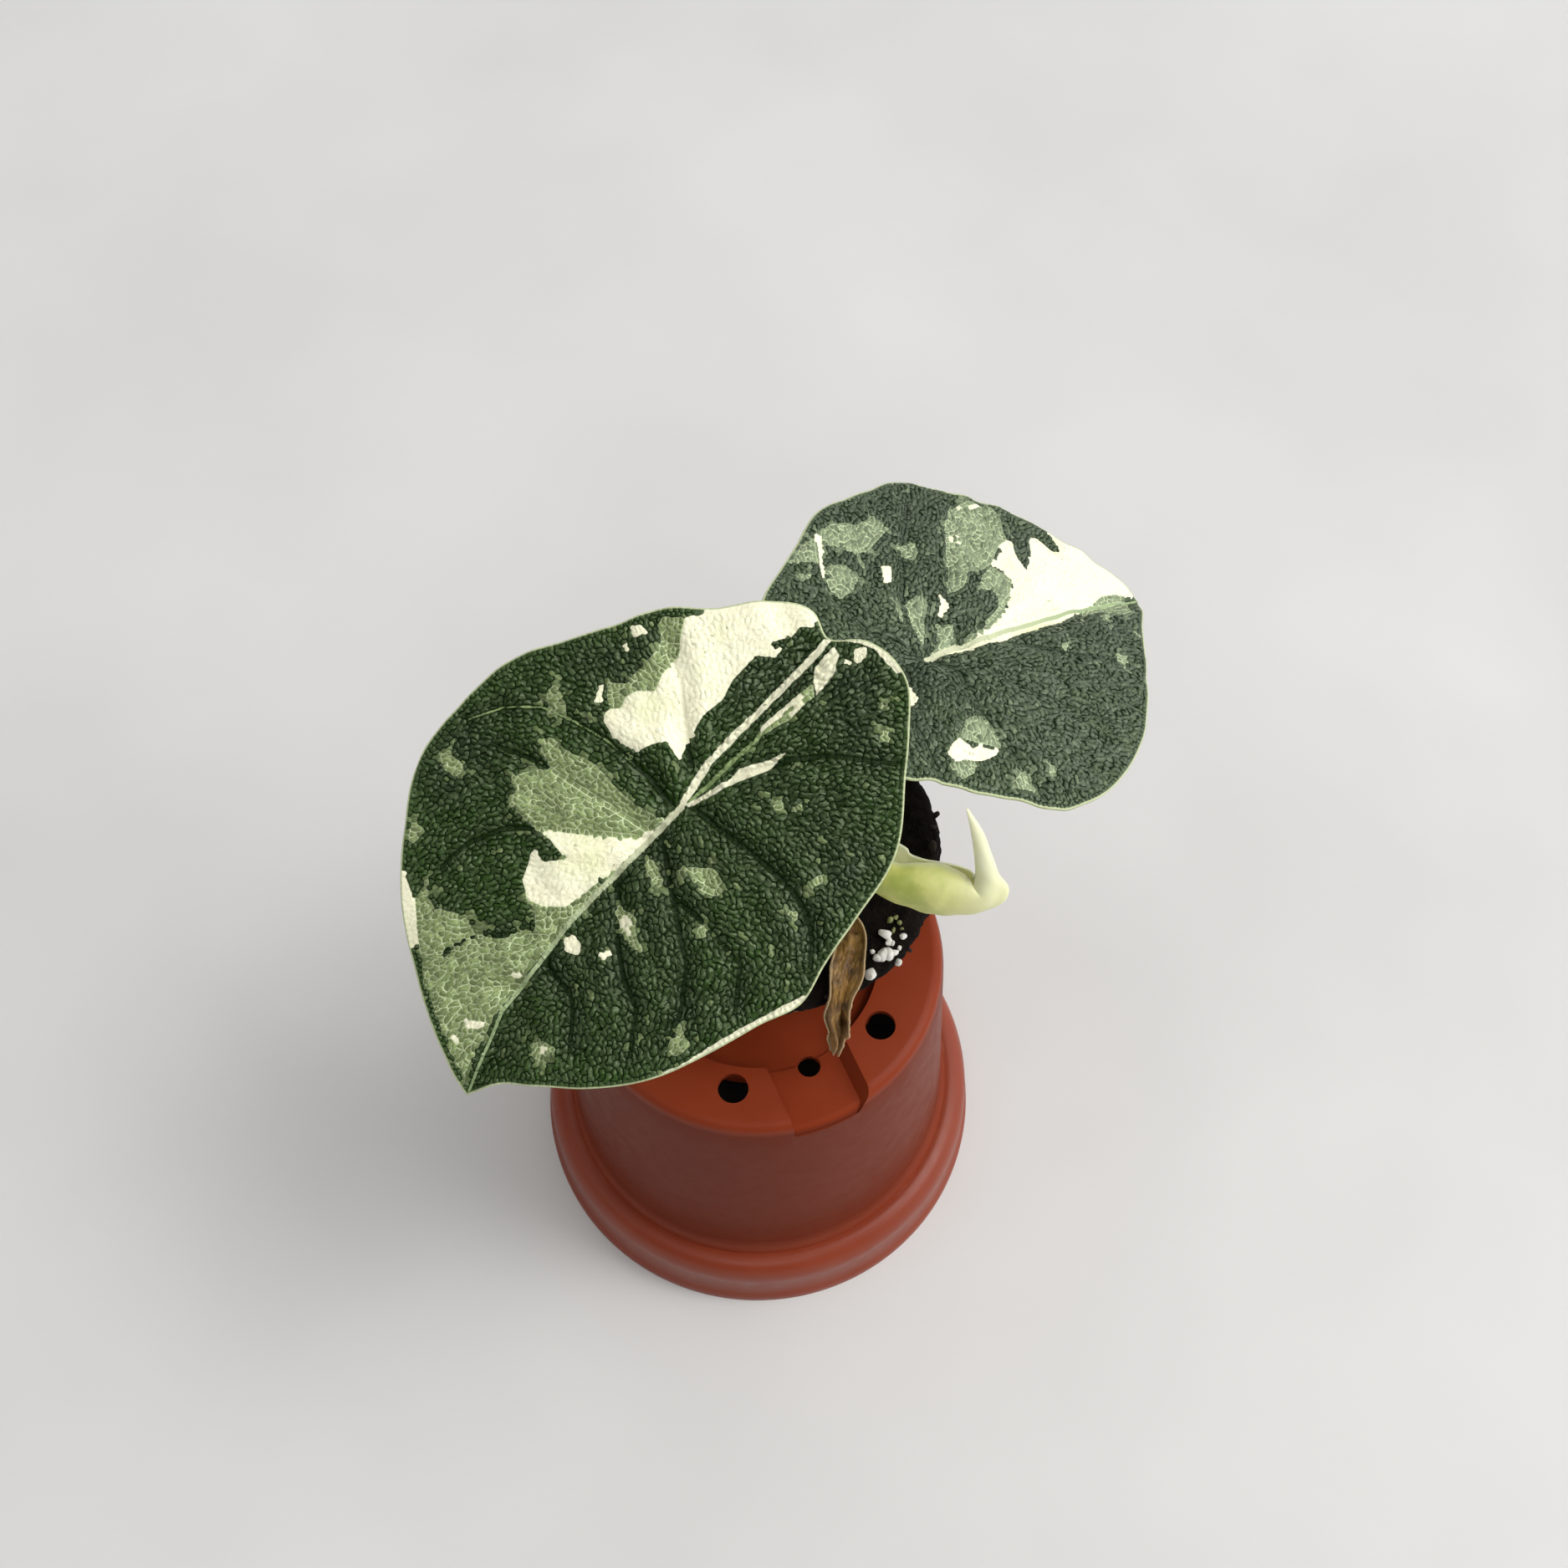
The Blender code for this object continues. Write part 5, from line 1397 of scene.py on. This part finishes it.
BACK_PATCHES = (
    ("sage", ((-4.2, 28.3), (1.1, 28.4), (3.7, 27.3), (7.7, 28), (8.8, 24.6), (4.7, 22.9), (1, 21.3),
              (-1, 21.6), (-1.5, 18.8), (-2.3, 18.3), (-2.1, 21.9), (-4.2, 23.2), (-4.1, 24.1),
              (-6.5, 25))),
    ("cream", ((-6.3, 27.5), (-5.1, 27.2), (-6.7, 24.9), (-10.6, 18.7), (-10.9, 19.1), (-9.2, 23.7))),
    ("sage", ((-15.8, 23.5), (-9.9, 25.9), (-6.5, 27.2), (-9.6, 21.6), (-12.2, 22.7))),
    ("sage", ((-16.1, 20.7), (-14.5, 20.9), (-13.1, 19.5), (-15.8, 19.1))),
    ("sage", ((-9.2, 20.5), (-6.9, 20.7), (-5, 19.8), (-5.7, 16.3), (-7.7, 14.7), (-10.1, 14.5),
              (-11.5, 15.9))),
    ("cream", ((1.1, 17.6), (3.2, 17.1), (0.8, 14.1), (-0.8, 14.5))),
    ("sage", ((8.5, 20.6), (11.5, 20.5), (10.9, 18.6), (9.2, 17.4), (7.9, 17.4), (7.6, 19.2))),
    ("sage", ((-1.6, 11.5), (-0.8, 10.7), (-1.9, 6.8), (-2.4, 7.5))),
    ("sage", ((1.7, 10), (4.2, 10.8), (5.6, 9), (3.6, 6.7), (-0.2, 2.2), (0, 5.3))),
    ("cream", ((9.2, 9.2), (10.2, 8.7), (9.5, 6.9), (7.4, 5.8), (6.8, 6.5))),
    ("sage", ((5.7, 4.9), (8.1, 3.8), (7.4, 2.3), (4.7, 0.5), (1.5, 0.2), (4.7, 3.4))),
    ("sage", ((25.5, 25.6), (32, 26.6), (34.4, 25.4), (35.6, 24), (35.2, 21.5), (32.9, 16.6),
              (29.8, 15.8), (25.1, 12.7), (20.7, 11.7), (17.4, 11.8), (15.2, 9.6), (11.8, 9.5),
              (15.8, 14.8), (19.8, 20.7))),
    ("mottled", ((27, 25.9), (31.8, 26.4), (34.8, 25.3), (29.9, 24.5))),
    ("mottled", ((20.1, 20.2), (22.6, 20), (22.5, 18.7), (20, 17.1), (18.7, 18.1))),
    ("sage", ((18.4, 8.9), (21, 10.7), (24.1, 11.7), (27.7, 8.8), (24.7, 5.5), (20.2, 3.1), (14.7, 0.9),
              (7.6, -0.1), (15.2, 2.3), (21.1, 4.8), (21.5, 6.4), (20.7, 7.9))),
    ("cream", ((1.2, -0.1), (10.8, 0.5), (17.7, 2.1), (22.9, 4.2), (27.4, 7.9), (27.5, 9.1), (24.6, 12.2),
               (28.2, 14.1), (30.4, 16), (33.3, 16.5), (33.5, 15.4), (32.2, 14), (31.8, 11.8),
               (32.6, 10.3), (34.4, 11), (36.3, 12.6), (38, 15.3), (39.1, 16), (40.8, 15.6), (41.9, 12.2),
               (43.8, 11.7), (44.2, 16.5), (50, 13), (56, 6.5), (60, 2), (58.7, 0.9), (55, 1.5),
               (48.9, 2.1), (43.9, 0.8), (34.6, -0.8), (26.7, -1.1), (15.1, -1.2), (4.7, -0.7))),
    ("sage", ((43.9, 0.8), (48.9, 2.1), (55, 1.5), (56.6, 0.3), (53.2, -2.6), (50.4, -2.9), (46.1, -1),
              (38.1, -0.7))),
    ("sage", ((44, -1.9), (46.6, -2.3), (44.7, -3.8), (43, -3.4))),
    ("sage", ((28.5, -5.7), (32, -5.5), (28.4, -7))),
    ("sage", ((39, -10.7), (41.6, -11.6), (38.2, -14.1), (38, -12.6))),
    ("sage", ((48.4, -7), (49.7, -7.6), (48.3, -8.6))),
    ("sage", ((-4.1, -13.5), (-1.4, -13.7), (0.6, -14.7), (0, -19.8), (-0.9, -20.5), (-5.6, -17),
              (-6.6, -16.1))),
    ("cream", ((-9.1, -16.6), (-6.6, -16.1), (-5.7, -18.6), (-4.1, -18.5), (-3.1, -19.8), (-0.8, -20.5),
               (-2.5, -21.2), (-5.8, -21.2), (-8.7, -19.9), (-11.2, -19.9), (-11.5, -17.7))),
    ("sage", ((-12.2, -19.7), (-8.7, -19.9), (-7.2, -21.1), (-8.7, -22.5), (-11.5, -22.8), (-12.7, -21.8))),
    ("sage", ((-3.1, -26.5), (1.5, -25.1), (2.6, -26.7), (0.9, -29), (-2.8, -27.5))),
    ("sage", ((6, -25.5), (8, -26.8), (7, -28), (5.2, -28))),
    ("cream", ((-8.1, -3.8), (-7.6, -4.4), (-8.7, -7), (-10.2, -7.8), (-11.3, -7.5))),
)

back_skin = leaf_skin("back_leaf_skin", BACK_COOL, BACK_FRESH, BACK_SAGE, BACK_TONE_AND_SHEEN, BACK_GLOSS, BACK_VEIN_SHADE)
back_mesh = leaf_blade(
    "back_leaf", BACK_AT, BACK_FACING, BACK_OUTLINE, BACK_FORM, BACK_VEINS, BACK_PATCHES, seed=8,
)
piece("back_leaf", back_mesh, [back_skin, back_of_leaf], "leaf", "leaf_blade_back")
back_joint = BACK_AT - BACK_FACING[2] * JOINT_DEPTH
stalk("back_stalk", "petiole_back", (
    (0.0055, 0.0101, STEM_TOP - STALK_SOCKET), (0.0100, 0.0145, 0.1190), (0.0195, 0.0215, 0.1310),
    back_joint - BACK_FACING[2] * BACK_UPRIGHT, back_joint,
), stalk_finish)

# New leaf.
# The youngest blade, thin and soft, still rolled into a boat with its tip curled up like a horn. It is pale
# yellow-green and faintly veined, and a short stalk holds it under its keel.

NEW_STATIONS = (
    (0.0085, -0.0010, 0.1345, 0.0016, 0.0020, 10, 60, 0.0015),
    (0.0150, -0.0052, 0.1350, 0.0025, 0.0030, -5, 80, 0.0028),
    (0.0220, -0.0096, 0.1350, 0.0029, 0.0034, -14, 85, 0.0032),
    (0.0257, -0.0106, 0.1350, 0.0033, 0.0040, -20, 80, 0.0014),
    (0.0290, -0.0113, 0.1349, 0.0036, 0.0043, -30, 72, 0.0007),
    (0.0318, -0.0118, 0.1350, 0.0034, 0.0040, -27, 70, 0.0009),
    (0.0348, -0.0125, 0.1356, 0.0027, 0.0033, -15, 62, 0.0010),
    (0.0369, -0.0122, 0.1369, 0.0022, 0.0024, 14, 40, 0.0003),
    (0.0370, -0.0110, 0.1396, 0.0016, 0.0018, 32, 32, 0.0),
    (0.0362, -0.0097, 0.1430, 0.0013, 0.0014, 44, 44, 0.0),
    (0.0349, -0.0077, 0.1474, 0.0009, 0.0010, 60, 58, 0.0),
    (0.0330, -0.0055, 0.1520, 0.00010, 0.00010, 80, 80, 0.0),
)
NEW_ROWS, NEW_COLUMNS = 220, 90
BOW_AT, BOW_LENGTH, BOW_WIDTH, BOW = 0.655, 0.05, 0.06, 0.62
KEEL, KEEL_WIDTH, FAINT_VEIN, LIP_WAVE = 0.03, 0.035, 0.016, 0.04
YOUNG_GREEN, YOUNG_YELLOW, YOUNG_DUSK = (0.66, 0.67, 0.20), (0.84, 0.84, 0.40), (0.30, 0.40, 0.06)
HORN_PALE, YOUNG_LIP, YOUNG_INSIDE = (0.90, 0.91, 0.56), (0.88, 0.89, 0.58), (0.93, 0.93, 0.66)


def along_path(stations, t, up):
    """Values of a path at t, with its side and open directions square to it."""
    knots = [(i / (len(stations) - 1), *row) for i, row in enumerate(stations)]
    values = through(t, knots)
    after, before = (through(np.clip(t + step, 0, 1), knots)[:, :3] for step in (0.01, -0.01))
    ahead = after - before
    ahead /= np.linalg.norm(ahead, axis=1)[:, None]
    up = up / np.linalg.norm(up, axis=1)[:, None]
    side = np.cross(ahead, up)
    side /= np.linalg.norm(side, axis=1)[:, None]
    return values, side, np.cross(side, ahead)


def sheet_mesh(name, places, thickness):
    """A thin sheet with two skins over a grid of places. It stores how far along and across each spot is."""
    rows, columns = places.shape[:2]
    along = np.gradient(places, axis=0)
    across = np.gradient(places, axis=1)
    out = np.cross(along, across)
    out /= np.linalg.norm(out, axis=2)[:, :, None] + 1e-12
    skins = [places + out * thickness[:, :, None] / 2, places - out * thickness[:, :, None] / 2]
    count = rows * columns
    faces = []
    for i in range(rows - 1):
        for j in range(columns - 1):
            a = i * columns + j
            quad = (a, a + columns, a + columns + 1, a + 1)
            faces.append(quad)
            faces.append(tuple(count + k for k in reversed(quad)))
    rim = list(range(columns)) + [i * columns + columns - 1 for i in range(1, rows)]
    rim += [(rows - 1) * columns + j for j in reversed(range(columns - 1))]
    rim += [i * columns for i in reversed(range(1, rows - 1))]
    for a, b in sides_of(rim):
        faces.append((a, b, count + b, count + a))
    mesh = bpy.data.meshes.new(name)
    mesh.from_pydata(np.vstack([s.reshape(-1, 3) for s in skins]).tolist(), [], faces)
    along_share = np.repeat(np.linspace(0, 1, rows), columns)
    across_share = np.tile(np.linspace(0, 1, columns), rows)
    set_traits(mesh, {
        "along": np.tile(along_share, 2), "across": np.tile(across_share, 2),
        "skin": np.repeat((0.0, 1.0), count),
    })
    merge = bmesh.new()
    merge.from_mesh(mesh)
    bmesh.ops.recalc_face_normals(merge, faces=merge.faces)
    merge.to_mesh(mesh)
    merge.free()
    mesh.shade_smooth()
    return mesh


def new_leaf_grid():
    """The rolled blade: a ring open at its top, with keel, faint veins, wavy lips and a bow at its turn."""
    t = np.linspace(0, 1, NEW_ROWS)
    bend = np.clip((t - 0.55) / 0.30, 0, 1)
    up = np.column_stack((-0.95 * bend, np.full(NEW_ROWS, 0.30), 1.0 - 0.92 * bend))
    values, side, opening = along_path(NEW_STATIONS, t, up)
    half, depth, front, back, flap = (values[:, k:k + 1] for k in (3, 4, 5, 6, 7))
    along = t[:, None]
    across = np.linspace(0, 1, NEW_COLUMNS)[None, :]
    turn = np.radians(front + (360 - front - back) * across)
    veins = np.cos(2 * np.pi * (9.0 * along - 3.2 * np.abs(across - 0.5)))
    keel = np.exp(-((across - 0.5) / KEEL_WIDTH) ** 2)
    bow = np.exp(-np.abs((across - 0.50) / BOW_WIDTH) ** 1.3) * np.exp(-((along - BOW_AT) / BOW_LENGTH) ** 2)
    swell = 1.0 + FAINT_VEIN * veins * np.sin(np.pi * across) + KEEL * keel + BOW * bow
    lip = 1.0 + LIP_WAVE * np.sin(2 * np.pi * 3.1 * along + 0.7) * (np.abs(2 * across - 1) ** 6)
    ring = half[:, :, None] * (np.sin(turn) * swell * lip)[:, :, None] * side[:, None, :]
    ring = ring + depth[:, :, None] * (np.cos(turn) * swell * lip)[:, :, None] * opening[:, None, :]
    raised = flap * np.clip((across - 0.70) / 0.30, 0, 1) ** 1.5
    ring = ring + raised[:, :, None] * (0.8 * opening - 0.6 * side)[:, None, :]
    thickness = np.minimum(0.00055 - 0.00025 * np.abs(2 * across - 1) ** 4, 0.00050 - 0.00020 * along ** 4)
    return values[:, None, :3] + ring + np.array(POT_AXIS), thickness


def towards_border(tree, across):
    """From nothing to 1 near the two long borders of a sheet."""
    return ranged(tree, maths(tree, "ABSOLUTE", maths(tree, "SUBTRACT", across, 0.5)), 0.40, 0.5)


def young_skin():
    """Soft, slightly see-through skin: yellow-green, dusky on the boat, creamier inside and up the horn."""
    soft = {"Subsurface_Weight": 0.45, "Subsurface_Scale": 0.002, "Subsurface_Radius": (1.0, 0.95, 0.40)}
    mat, tree, shader = finish("young_skin", 0.40, **soft)
    along, across, skin = (trait(tree, n) for n in ("along", "across", "skin"))
    blotches = ranged(tree, grain(tree, 210, 3), 0.42, 0.62)
    colour = mixed(tree, ranged(tree, along, 0.22, 0.60), YOUNG_GREEN, YOUNG_YELLOW)
    dusk = times(tree, blotches, ranged(tree, along, 0.52, 0.30, 0.0, 0.55))
    colour = mixed(tree, dusk, colour, YOUNG_DUSK)
    colour = mixed(tree, ranged(tree, along, 0.50, 0.80), colour, HORN_PALE)
    colour = mixed(tree, times(tree, towards_border(tree, across), 0.6), colour, YOUNG_LIP)
    inside_it = maths(tree, "SUBTRACT", 1.0, skin)
    colour = mixed(tree, times(tree, inside_it, 0.75), colour, YOUNG_INSIDE)
    tree.links.new(colour, shader.inputs["Base Color"])
    relief(tree, shader, grain(tree, 2400, 3), 0.00004, 0.5)
    return mat


piece("rolled_leaf", sheet_mesh("rolled_leaf", *new_leaf_grid()), [young_skin()], "young_leaf", "new_leaf")
stalk("new_stalk", "petiole_new", (
    (0.0065, 0.0049, STEM_TOP - STALK_SOCKET), (0.0097, 0.0010, STEM_TOP + 0.0045),
    (0.0147, -0.0044, 0.1265), (0.0152, -0.0052, 0.1322),
), stalk_finish, 0.0021, 0.0014, 0.0003)

# Withered leaf.
# An old leaf that has dried to a folded, papery brown strip. It starts beside the stem, lies over the peat,
# and hangs down the plug to a crumpled tip.

WITHERED_PATH = (
    (0.0083, 0.0031, 0.1080, 0.0011, 0.0004), (0.0128, -0.0020, 0.1083, 0.0018, 0.0006),
    (0.0160, -0.0078, 0.1086, 0.0029, 0.0008), (0.0160, -0.0140, 0.1086, 0.0031, 0.0009),
    (0.0147, -0.0190, 0.1056, 0.0025, 0.0009), (0.0144, -0.0210, 0.0995, 0.0021, 0.0009),
    (0.0145, -0.0212, 0.0915, 0.0016, 0.0008), (0.0142, -0.0200, 0.0830, 0.0007, 0.0005),
)
WITHERED_ROWS, WITHERED_COLUMNS, WITHERED_THICKNESS = 220, 84, 0.00032
PLEATS = ((0.0, 0.8), (0.4, 0.35), (0.62, 0.5), (0.8, 1.3), (1.0, 1.6))
CRUMPLE, RIM_CURL, TIP_CURL = 0.00050, 0.0009, 0.0016
# The third colour on the next line is a painted highlight, laid on in pale patches.
DRY_DARK, DRY_TAN, DRY_PAINTED_HIGHLIGHT = (0.085, 0.036, 0.007), (0.33, 0.175, 0.035), (0.42, 0.25, 0.08)
DRY_BORDER, DRY_TIP = (0.50, 0.36, 0.19), (0.50, 0.36, 0.20)


def withered_grid():
    """A strip whose folds deepen and wander towards the tip, with crumpled skin and curled edges."""
    t = np.linspace(0, 1, WITHERED_ROWS)
    blend = np.clip((t - 0.35) / 0.30, 0, 1)[:, None]
    up = (1 - blend) * np.array((0.0, -0.2, 1.0)) + blend * np.array((0.25, -1.0, 0.15))
    values, side, off = along_path(WITHERED_PATH, t, up)
    across = np.linspace(0, 1, WITHERED_COLUMNS)
    places = np.zeros((WITHERED_ROWS, WITHERED_COLUMNS, 3))
    for i, along in enumerate(t):
        pleat = float(through(along, PLEATS)[0, 0])
        sway = 0.06 * math.sin(9 * along) + 0.04 * math.sin(23 * along + 1)
        for j, w in enumerate(across):
            share = w + sway
            fold = math.cos(2 * math.pi * (1.35 * share + 0.12))
            fold += 0.45 * math.cos(2 * math.pi * 3.1 * share + 7 * along)
            crease = noise.noise(Vector((along * 7, w * 2.6, 0.3)))
            crumple = noise.turbulence(Vector((along * 24, w * 7.0, 4.0)), 4, True) - 0.6
            curl = max(0.0, abs(2 * w - 1) - 0.72) / 0.28
            half = values[i, 3] * (1 + 0.22 * crease + 0.10 * math.sin(31 * along) * w) * (1 - 0.12 * curl)
            lift = values[i, 4] * pleat * fold * (1 + 0.6 * crease)
            lift += CRUMPLE * crumple * (0.25 + along) + RIM_CURL * curl ** 2
            places[i, j] = values[i, :3] + side[i] * half * (2 * w - 1) + off[i] * lift
            places[i, j, 2] += TIP_CURL * crease * max(0.0, along - 0.88) * 8
    return places + np.array(POT_AXIS)


def dry_skin():
    """Papery brown skin, streaked along its length, with pale patches of painted highlight, and paler at its
    borders and tip.
    """
    mat, tree, shader = finish("dry_skin", 0.50, Subsurface_Weight=0.10, Subsurface_Scale=0.001)
    along, across = trait(tree, "along"), trait(tree, "across")
    streaks = ranged(tree, grain(tree, 420, 4, (1, 1, 0.35)), 0.35, 0.68)
    colour = mixed(tree, streaks, DRY_DARK, DRY_TAN)
    # Painted highlight: pale patches laid on by noise.
    colour = mixed(tree, ranged(tree, grain(tree, 260, 3), 0.54, 0.68, 0.0, 0.8), colour, DRY_PAINTED_HIGHLIGHT)
    colour = mixed(tree, times(tree, towards_border(tree, across), 0.8), colour, DRY_BORDER)
    colour = mixed(tree, ranged(tree, along, 0.84, 0.97, 0.0, 0.85), colour, DRY_TIP)
    tree.links.new(colour, shader.inputs["Base Color"])
    relief(tree, shader, grain(tree, 1500, 4, (1, 1, 0.4)), 0.00012, 0.6)
    return mat


withered_places = withered_grid()
withered_thickness = np.full(withered_places.shape[:2], WITHERED_THICKNESS)
withered_mesh = sheet_mesh("dried_leaf", withered_places, withered_thickness)
piece("dried_leaf", withered_mesh, [dry_skin()], "dry_leaf", "withered_leaf")

# Floor, light and camera.
# A wide, pale, matt floor that the pot stands on, soft light from all round with one large lamp, and the
# camera at the place and angle that the photograph was taken from. None of them belongs to the plant.

FLOOR_HALF, FLOOR_DARK, FLOOR_LIGHT = 3.0, (0.60, 0.60, 0.595), (0.66, 0.66, 0.655)
BASE_GLOW, GLOW_COLOUR = 0.13, (1.0, 0.99, 0.975)
GLOWS = (
    ((1.0, 0.0, 0.4), 3, 0.95), ((0.7, 0.7, 0.4), 3, 0.60), ((0.0, 1.0, 0.4), 3, 0.35),
    ((0.0, 0.0, 1.0), 6, 0.45), ((0.0, -0.6, 0.80), 60, 3.8), ((0.46, 0.05, 0.88), 80, 10.8),
    ((-0.75, -0.25, 0.60), 16, 0.8), ((-0.30, 0.45, 0.84), 60, 1.6),
)
LAMP_PLACE, LAMP_SIZE, LAMP_WATTS, LAMP_AIM = (0.80, -0.14, 0.62), 0.50, 3.0, Vector((0.0, 0.0, 0.10))
LENS, SENSOR, NEAREST = 50.0, 36.0, 0.01
CAMERA_PLACE = Vector((-0.00264, -0.16657, 0.4548))
PITCH, ROLL = math.radians(62.9), math.radians(0.87)

floor_mesh = bpy.data.meshes.new("floor")
floor_corners = [(x * FLOOR_HALF, y * FLOOR_HALF, 0.0) for x, y in ((-1, -1), (1, -1), (1, 1), (-1, 1))]
floor_mesh.from_pydata(floor_corners, [], [(0, 1, 2, 3)])
floor = bpy.data.objects.new("floor", floor_mesh)
bpy.context.scene.collection.objects.link(floor)
floor_mat, floor_tree, floor_shader = finish("pale_floor", 0.8)
mottle = ranged(floor_tree, grain(floor_tree, 7, 3), 0.35, 0.65)
floor_colour = mixed(floor_tree, mottle, FLOOR_DARK, FLOOR_LIGHT)
floor_tree.links.new(floor_colour, floor_shader.inputs["Base Color"])
floor_mesh.materials.append(floor_mat)

world = bpy.data.worlds.new("studio")
world.use_nodes = True
sky = world.node_tree
toward = add(sky, "TexCoord").outputs["Generated"]


def glow(direction, power, strength):
    """A soft patch of light in the surroundings, brightest in that direction."""
    directions = {0: toward, 1: Vector(direction).normalized()}
    facing_it = add(sky, "VectorMath", directions, operation="DOT_PRODUCT").outputs["Value"]
    near = maths(sky, "POWER", maths(sky, "MAXIMUM", facing_it), power)
    return times(sky, near, strength)


surroundings = BASE_GLOW
for direction, power, strength in GLOWS:
    surroundings = maths(sky, "ADD", glow(direction, power, strength), surroundings)
backdrop = sky.nodes["Background"]
backdrop.inputs["Color"].default_value = (*GLOW_COLOUR, 1.0)
sky.links.new(surroundings, backdrop.inputs["Strength"])
bpy.context.scene.world = world

lamp = bpy.data.lights.new("key", "AREA")
lamp.shape, lamp.size, lamp.energy, lamp.color = "DISK", LAMP_SIZE, LAMP_WATTS, GLOW_COLOUR
lamp_object = bpy.data.objects.new("key", lamp)
lamp_object.location = LAMP_PLACE
lamp_object.rotation_euler = (LAMP_AIM - Vector(LAMP_PLACE)).to_track_quat("-Z", "Y").to_euler()
bpy.context.scene.collection.objects.link(lamp_object)

forward = Vector((0.0, math.cos(PITCH), -math.sin(PITCH)))
right = Vector((1.0, 0.0, 0.0))
up = right.cross(forward)
leaned_right = right * math.cos(ROLL) + up * math.sin(ROLL)
leaned_up = up * math.cos(ROLL) - right * math.sin(ROLL)
camera_data = bpy.data.cameras.new("camera")
camera_data.lens, camera_data.sensor_width, camera_data.clip_start = LENS, SENSOR, NEAREST
camera = bpy.data.objects.new("camera", camera_data)
bpy.context.scene.collection.objects.link(camera)
camera_turn = Matrix((leaned_right, leaned_up, -forward)).transposed().to_4x4()
camera.matrix_world = Matrix.Translation(CAMERA_PLACE) @ camera_turn
bpy.context.scene.camera = camera
bpy.context.scene.view_settings.view_transform = "Standard"
